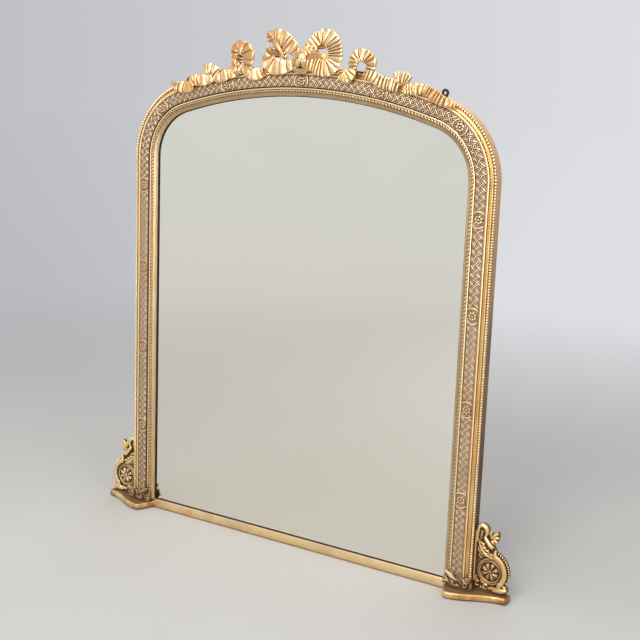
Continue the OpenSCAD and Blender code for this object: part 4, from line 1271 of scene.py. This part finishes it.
class OVERMANTEL_OT_rosettes(Build, bpy.types.Operator):
    """Carves the rosette in each bracket's scroll"""

    bl_idname = "overmantel.rosettes"
    bl_label = "Rosettes"

    def execute(self, context):
        m = Layout(context.scene)
        finish = gilt("gilt_rosette", tint(204, 170, 132), tint(246, 222, 180), 0.44, rub=0.5,
                      soil=1.15, tone=tint(166, 134, 106))
        spot = m.beside(m.outer_x + 50, m.foot_t + m.scroll_r + 5)
        turn = np.arange(160) / 160 * tau
        r = np.linspace(0.4, m.rosette_r, 52)[:, None]
        petal = np.abs((turn * m.petals / tau) % 1 - 0.5)[None] * 2
        reach = np.clip((r - 4.8) / (m.rosette_r - 6.6), 0, 1)
        swell = np.sin(pi * (0.1 + 0.82 * reach)) ** 0.7 * (reach > 0)
        lobe = np.sqrt(np.clip(1 - (petal * 1.26) ** 2, 0, 1))
        h = 6.2 * swell * lobe
        h -= 1.5 * np.exp(-(petal / 0.16) ** 2) * np.sin(pi * reach)
        h = np.maximum(h, 6.0 * np.sqrt(np.clip(1 - (r / 5.2) ** 2, 0, 1))
                       - 1.0 * np.cos(8 * turn)[None] * (r / 5.2) ** 2 * (r < 5.2))
        h = np.maximum(h, 0)
        t = m.relief_t + 0.4 + h
        # Low parts are marked darker, and the rim fully: painted shade.
        mark = np.clip(1.25 - h * 0.27, 0, 1)
        rows = spot(r * np.cos(turn), r * np.sin(turn), t)
        rim = spot(m.rosette_r * np.cos(turn), m.rosette_r * np.sin(turn), m.relief_t - 0.2)
        form = Form()
        form.tube(np.concatenate([rows, rim[None]]), np.concatenate([mark, np.ones((1, 160))]))
        add_pair(form.mesh("bracket_rosette_right"), "bracket_rosette", "_carved", finish,
                 "gilt_carved", 70)
        return {"FINISHED"}


class OVERMANTEL_OT_leaves(Build, bpy.types.Operator):
    """Carves the leaf plinth that covers the foot of each stile"""

    bl_idname = "overmantel.leaves"
    bl_label = "Leaf plinths"

    def execute(self, context):
        m = Layout(context.scene)
        finish = gilt("gilt_leaf", tint(180, 148, 112), tint(232, 206, 158), 0.46, rub=0.5,
                      soil=1.2, tone=tint(132, 106, 84))
        spot = m.beside(m.half_width, m.foot_t)
        form = Form()
        tall = m.plinth_h - 1
        for start, low, high in ((m.rope_o, m.ground_t, m.crest_t - 2),
                                 (m.cove_o, m.pearl_seat, m.ground_t + 2)):
            form.slab([(start, 0), (m.edge_o, 0), (m.edge_o, tall), (start, tall)], low, high, spot)
        back = m.crest_t - 2.6

        def blade(knots, pitch=5.6, rise=6, **more):
            stroke(form, knots, spot, back, rise, 1.9, relief=carved(1.9, pitch),
                   lobes=lambda s: 1.5 * np.abs(np.sin(pi * s / pitch)) - 1.0, undercut=1.5,
                   step=1.2, count=17, **more)

        for knots in (
            [(-14, 1, 12, -1), (-14, 14, 14, 0.5), (-14, 30, 11, 1.5), (-13, 44, 7, 2.5),
             (-12, 55, 1.6, 2)],
            [(-26, 1, 7, 0), (-30, 12, 9, 1), (-32, 24, 7, 2), (-34, 33, 1.6, 1)],
            [(-2, 1, 8, 0), (2, 14, 9, 1), (5, 27, 7, 2), (8, 38, 1.6, 1)],
            [(12, 1, 9, 0), (14, 14, 9, 1), (16, 26, 7, 2), (20, 35, 1.6, 1)],
            [(27, 2, 9, 0), (29, 14, 11, 1), (35, 27, 10, 2), (44, 37, 5, 2), (51, 44, 1.6, 1)],
            [(38, 1, 7, -1), (43, 9, 8, 0), (47, 19, 5, 1), (49, 27, 1.6, 0)],
        ):
            blade(knots)
        for knots in (
            [(-31, 48, 2, 4), (-22, 41, 6, 5.4), (-8, 31, 7, 6), (6, 24, 2, 4)],
            [(-30, 28, 2, 2.5), (-24, 20, 4.4, 4), (-17, 12, 1.6, 3)],
            [(22, 34, 2, 2.5), (28, 26, 4.6, 4), (36, 19, 1.6, 3)],
        ):
            blade(knots, 4.6)
        for centre, r in (((-31, 11), 7), ((33, 16), 8)):
            stroke(form, arc_knots(centre, r, 40, 400, 2.6, 6, r_end=2.4), spot, back, 6, 1.2,
                   undercut=0.6, step=1.2, count=9)
        for a in np.radians([150, 187, 224, 261, 298, 335]):
            tip = [(2 + r * cos(a), 16 + r * sin(a) * 0.9, w, 6)
                   for r, w in ((3, 1.6), (8, 3.2), (14, 1.8))]
            stroke(form, tip, spot, back, 6.4, 1.6, undercut=0.6, step=1.2, count=9)
        right = fused(form, "leaves_right", 0.75)
        # Low ground, side faces and closed-over crevices are darkened: painted shade.
        shade_by_height(right, m, back + 2, back + 11)
        shade_hollows([right], 12)
        add_pair(right, "leaves", "_carved", finish, "gilt_carved", 70)
        return {"FINISHED"}


# Ribbons of the crest: pitch and depth of the pleats, painted shade of a shaded ribbon,
# then knots with the distance along the arch, the height, the half width and the lift
CREST = {
    "crest_tail_left": {
        "tail_l": (21, 4.4, 0, [
            (-453, 49, 3, -1), (-443, 42, 8, 0), (-435, 32, 15, 2), (-416, 26, 17, 2),
            (-397, 22, 17, 0), (-380, 22, 15, -1)]),
        "wave_l": (24, 4.6, 0, [
            (-384, 33, 14, 3), (-365, 35, 17, 3), (-346, 31, 18, 2), (-326, 28, 16, 1),
            (-309, 29, 13, 0), (-296, 29, 10, -2)]),
        "fold_l_top": (11, 3.2, 0.1, [
            (-332, 59, 12, -1), (-322, 59, 15, 2), (-312, 58, 16, 3), (-302, 56, 14, 3),
            (-295, 52, 11, 1)]),
        "fold_l": (22, 4.6, 0, [
            (-322, 57, 10, 0), (-307, 53, 13, 1), (-292, 45, 18, 3), (-280, 31, 20, 4),
            (-264, 30, 19, 2), (-248, 33, 16, 1), (-232, 32, 15, 2), (-218, 36, 13, 1),
            (-203, 40, 9, 1)]),
    },
    "crest_loop_left": {
        "loop_l_inner": (9, 2.5, 0.8, [(-214, 50, 8, -4), (-206, 66, 11, -4), (-199, 82, 9, -4)]),
        "loop_l": (20, 4.4, 0, [
            (-217, 64, 9, -3), (-221, 82, 10, -1), (-214, 98, 14, 1), (-199, 102, 18, 4),
            (-182, 99, 19, 5), (-171, 85, 20, 5), (-171, 63, 18, 4), (-177, 46, 15, 2),
            (-176, 30, 17, 4), (-161, 22, 17, 3), (-143, 21, 17, 1), (-126, 29, 15, -1)]),
        "loop_l_curl": (12, 3, 0.1, [(-229, 65, 6, 0), (-219, 61, 9, 4), (-207, 52, 9, 5),
                                     (-199, 41, 6, 3)]),
        "loop_l_foot": (13, 3, 0.1, [(-238, 37, 9, 0), (-224, 42, 12, 4), (-208, 38, 12, 4),
                                     (-200, 30, 8, 1)]),
    },
    "crest_bow_left": {
        "bow_l_low": (24, 4.8, 0, [
            (-21, 51, 12, 2), (-41, 41, 18, 4), (-66, 38, 22, 6), (-89, 43, 25, 5),
            (-108, 57, 22, 1), (-118, 74, 8, -1)]),
        "bow_l_tuck": (0, 2.2, 0.45, [(-111, 95, 8, -4), (-99, 82, 10, -3), (-84, 76, 10, -2),
                                      (-67, 73, 8, -2)]),
        "bow_l_inner": (10, 2.6, 0.4, [
            (-50, 58, 9, 0), (-58, 76, 9, -1), (-73, 95, 11, -2), (-87, 89, 10, -2)]),
        "bow_l_tip": (8, 2.4, 0.2, [(-89, 136, 5, -3), (-99, 129, 11, -2), (-99, 116, 9, -3),
                                    (-93, 108, 4, -4)]),
        "bow_l_roll": (0, 1.6, 0, [(-92, 108, 4, 1), (-81, 103, 6, 4), (-71, 94, 7, 5),
                                   (-62, 81, 6, 4), (-56, 66, 5, 2)]),
        "bow_l_top": (19, 4.0, 0, [
            (-6, 66, 11, 1), (-21, 83, 17, 5), (-37, 103, 21, 6), (-56, 120, 19, 5),
            (-76, 127, 16, 4), (-91, 127, 12, 2)]),
    },
    "crest_knot": {
        "knot_band": (0, 2.0, 0.1, [(-34, 46, 6, 1), (-17, 33, 8, 3), (0, 27, 8, 4),
                                    (14, 30, 8, 3), (28, 38, 6, 1)]),
        "knot_wrap": (0, 2.0, 0.25, [(-20, 40, 9, 2), (-13, 56, 14, 4), (-4, 68, 16, 4),
                                     (8, 81, 11, 3)]),
        "knot_cross": (0, 2.0, 0.25, [(19, 38, 9, 2), (13, 52, 12, 4), (4, 66, 13, 4),
                                      (-6, 82, 9, 3)]),
        "knot_left": (0, 1.8, 0, [(-21, 47, 6, 6), (-16, 61, 9, 9), (-6, 72, 8, 9), (6, 77, 5, 7)]),
        "knot_right": (0, 1.8, 0, [(10, 40, 6, 6), (14, 53, 9, 9), (10, 67, 9, 9), (-2, 77, 5, 7)]),
        "knot_heart": (0, 1.4, 0, [(-8, 39, 5, 7), (-3, 51, 8, 11), (4, 63, 7, 11), (3, 74, 4, 8)]),
    },
    "crest_bow_right": {
        "bow_r_under": (0, 2.4, 0.45, [(26, 115, 6, -3), (37, 103, 9, -2), (54, 98, 8, -3),
                                       (69, 99, 7, -4), (81, 101, 5, -5)]),
        "bow_r_inner": (0, 2.2, 0.1, [(17, 58, 9, 3), (33, 66, 11, 5), (52, 69, 11, 4),
                                      (69, 71, 9, 2), (82, 66, 6, -1)]),
        "bow_r_edge": (11, 3.2, 0, [(6, 66, 10, 1), (22, 86, 15, 6), (37, 103, 17, 5),
                                    (52, 120, 18, 2)]),
        "bow_r_ring": (11.5, 3.6, 0, [
            (37, 117, 12, -1), (57, 125, 17, 1), (78, 123.6, 23, 3), (97, 110, 25, 3),
            (107, 88, 22, 3), (107, 63, 23, 4), (94, 45, 24, 5), (72, 40, 24, 5),
            (49, 45, 22, 5), (27, 51, 16, 4), (12, 55, 10, 3)]),
        "bow_r_lobe": (12, 3, 0, [(4, 65, 9, 3), (13, 78, 12, 7), (27, 88, 12, 8),
                                  (42, 90, 9, 5), (54, 84, 5, 2)]),
    },
    "crest_loop_right": {
        "drop_r": (12, 3.4, 0, [
            (123, 44, 10, -2), (131, 29, 13, 1), (146, 24, 18, 5), (161, 34, 17, 4),
            (167, 48, 11, 1)]),
        "loop_r": (12, 3.6, 0, [
            (167, 34, 10, -1), (164, 56, 13, 1), (169, 78, 17, 3), (186, 89, 17, 4),
            (206, 86, 18, 4), (218, 72, 17, 2), (215, 54, 13, -1), (209, 40, 13, -2)]),
    },
    "crest_tail_right": {
        "run_r": (10, 3.2, 0.3, [
            (209, 40, 14, 1), (227, 38, 16, 2), (250, 31, 17, 1), (274, 29, 17, 1),
            (296, 30, 17, 1), (316, 30, 15, -1)]),
        "fold_r": (8, 3.0, 0.05, [(293, 46, 13, 0), (303, 52, 17, 2), (315, 54, 19, 3),
                                  (328, 54, 18, 2), (337, 51, 14, 0)]),
        "wave_r": (14, 3.6, 0, [
            (327, 25, 12, -2), (346, 32, 15, 2), (366, 39, 16, 3), (385, 44, 15, 3),
            (397, 43, 13, 0)]),
        "tail_r": (11, 3.4, 0, [
            (390, 46, 13, 1), (408, 41, 16, 2), (430, 35, 17, 2), (449, 32, 14, 1),
            (466, 32, 11, 0), (483, 31, 5, -2)]),
    },
}


class OVERMANTEL_OT_crest(Build, bpy.types.Operator):
    """Carves the pleated ribbons, bows and knot of the crest"""

    bl_idname = "overmantel.crest"
    bl_label = "Crest"

    def execute(self, context):
        m, shades = Layout(context.scene), context.scene.overmantel_colours
        finish = gilt("gilt_ribbon", tuple(shades.leaf_ribbon), tint(250, 228, 188), 0.32,
                      rub=0.5, soil=1.05, tone=tint(216, 156, 104))
        meshes = {}
        for seed, (node, ribbons) in enumerate(CREST.items()):
            form = Form()
            for k, (pitch, depth, soil, knots) in enumerate(ribbons.values()):
                if not pitch:
                    stroke(form, knots, m.on_arch, m.crest_t, m.ribbon_t, 3.4, step=1.4, count=25,
                           relief=fluted(depth, max(3, round(max(k[2] for k in knots) / 2.4))),
                           soil=soil)
                    continue
                total = smooth_path(knots, 1.5)[0][-1]
                relief, ridge = pleats(total, pitch, depth, 40 + 7 * seed + k)
                stroke(form, knots, m.on_arch, m.crest_t, m.ribbon_t, 1.8, relief=relief,
                       lobes=lambda s: 2.2 * (ridge(s) - 0.7), soil=soil)
            meshes[node] = form.mesh(node)
        # Rays darken the places that other ribbons close over: painted shade in the crest's folds.
        shade_hollows(list(meshes.values()), 14, rays=8, gain=0.7)
        for node, mesh in meshes.items():
            add_piece(node + "_carved", mesh, finish, "gilt_ribbon", node, sharp=55)
        return {"FINISHED"}


class OVERMANTEL_OT_timber(Build, bpy.types.Operator):
    """Gives the pine core, back boards, battens and blocks their grain"""

    bl_idname = "overmantel.timber"
    bl_label = "Timber"

    def execute(self, context):
        shades = context.scene.overmantel_colours
        pine, late = tuple(shades.pine), tuple(shades.pine_dark)
        wash = tint(244, 200, 146)
        dress(timber("pine_upright", pine, late, "z", gilded=wash), "pine_stile_left",
              "pine_stile_right", "pine_shoulder_left", "pine_shoulder_right")
        dress(timber("pine_level", pine, late, "x", gilded=wash), "pine_arch")
        dress(timber("pine_board", pine, late, "z"), "back_boards", "plate_blocks")
        dress(timber("pine_batten", tint(206, 172, 122), late, "x"), "batten_lower", "batten_upper")
        # The crest blocks take the dark colour: painted shadow behind the ribbons.
        dress(timber("washed_block", tuple(shades.wash), tint(40, 38, 40), "x", 0.7),
              "crest_blocks")
        return {"FINISHED"}


class OVERMANTEL_OT_glass(Build, bpy.types.Operator):
    """Silvers the mirror plate, a little way behind the front of its glass"""

    bl_idname = "overmantel.glass"
    bl_label = "Mirror plate"

    def execute(self, context):
        f = Finish("silvered_glass")
        cloud = f.noise(3, 4, 0.6)
        spots = f.noise(160, 3, 0.7).step(0.73, 0.8) * f.noise(9, 3).step(0.5, 0.7)
        shades = context.scene.overmantel_colours
        silver = f.mix(cloud.step(0.35, 0.7) * 0.35, tuple(shades.silvering), tint(238, 238, 233))
        low = 1 - f.split(f.place, 2).step(0.4, 1.3)
        silver = f.mix(low * 0.5, silver, tint(234, 229, 212))
        silver = f.mix(spots * 0.35, silver, tint(120, 112, 98))
        finish = f.surface(Base_Color=silver, Metallic=1.0, Roughness=0.02 + spots * 0.2,
                           Coat_Weight=0.4, Coat_Roughness=0.01)
        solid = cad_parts["mirror_plate"]
        mesh = solid.data.copy()
        mesh.transform(solid.matrix_world)
        mesh.materials.clear()
        points = read_points(mesh)
        points[points[:, 1] < points[:, 1].mean(), 1] += SILVER_DEPTH * MM
        mesh.vertices.foreach_set("co", points.ravel())
        mesh.update()
        add_piece("mirror_plate_silvered", mesh, finish, "mirror_glass", "mirror_plate")
        return {"FINISHED"}


class OVERMANTEL_OT_ironwork(Build, bpy.types.Operator):
    """Darkens the wall plates and screws, with rust in patches"""

    bl_idname = "overmantel.ironwork"
    bl_label = "Ironwork"

    def execute(self, context):
        f = Finish("old_iron")
        mottle, pits = f.noise(120, 5, 0.65), f.noise(900, 4, 0.7)
        rust = (f.noise(60, 4, 0.6).step(0.5, 0.68) * 0.7 + pits * 0.1).clamp()
        metal = f.mix(mottle, tuple(context.scene.overmantel_colours.iron), tint(58, 60, 62))
        iron = f.surface(Base_Color=f.mix(rust, metal, tint(96, 60, 38)),
                         Metallic=(0.9 - rust * 0.8),
                         Roughness=(0.42 + rust * 0.35 + (mottle - 0.5) * 0.2).clamp(),
                         Normal=f.bump(pits * 0.5 + mottle * 0.5, 0.25, 0.7))
        dress(iron, "wall_plate_left", "wall_plate_right", "wall_plate_screws", "foot_screws")
        return {"FINISHED"}


OPERATORS = (
    OVERMANTEL_OT_stage, OVERMANTEL_OT_timber, OVERMANTEL_OT_glass, OVERMANTEL_OT_ironwork,
    OVERMANTEL_OT_slips, OVERMANTEL_OT_ropes, OVERMANTEL_OT_fillets, OVERMANTEL_OT_woven_bands,
    OVERMANTEL_OT_medallions, OVERMANTEL_OT_coves, OVERMANTEL_OT_pearls, OVERMANTEL_OT_rail,
    OVERMANTEL_OT_feet, OVERMANTEL_OT_brackets, OVERMANTEL_OT_rosettes, OVERMANTEL_OT_leaves,
    OVERMANTEL_OT_crest,
)


class OVERMANTEL_PT_panel(bpy.types.Panel):
    """Lists the steps that build the mirror, and its sizes and colours"""

    bl_idname = "OVERMANTEL_PT_panel"
    bl_label = "Overmantel mirror"
    bl_space_type = "VIEW_3D"
    bl_region_type = "UI"
    bl_category = "Mirror"

    def draw(self, context):
        column = self.layout.column(align=True)
        for operator in OPERATORS:
            column.operator(operator.bl_idname)
        for name in GROUPS:
            group = getattr(context.scene, name)
            box = self.layout.box()
            for key in type(group).__annotations__:
                box.prop(group, key)


GROUPS = {
    "overmantel_sizes": OvermantelSizes,
    "overmantel_detail": OvermantelDetail,
    "overmantel_colours": OvermantelColours,
}
CLASSES = (*GROUPS.values(), *OPERATORS, OVERMANTEL_PT_panel)


def register():
    for item in CLASSES:
        bpy.utils.register_class(item)
    for name, group in GROUPS.items():
        setattr(bpy.types.Scene, name, PointerProperty(type=group))


def unregister():
    for name in GROUPS:
        delattr(bpy.types.Scene, name)
    for item in reversed(CLASSES):
        bpy.utils.unregister_class(item)


def main():
    register()
    for operator in OPERATORS:
        group, name = operator.bl_idname.split(".")
        getattr(getattr(bpy.ops, group), name)()


if __name__ == "__main__":
    main()
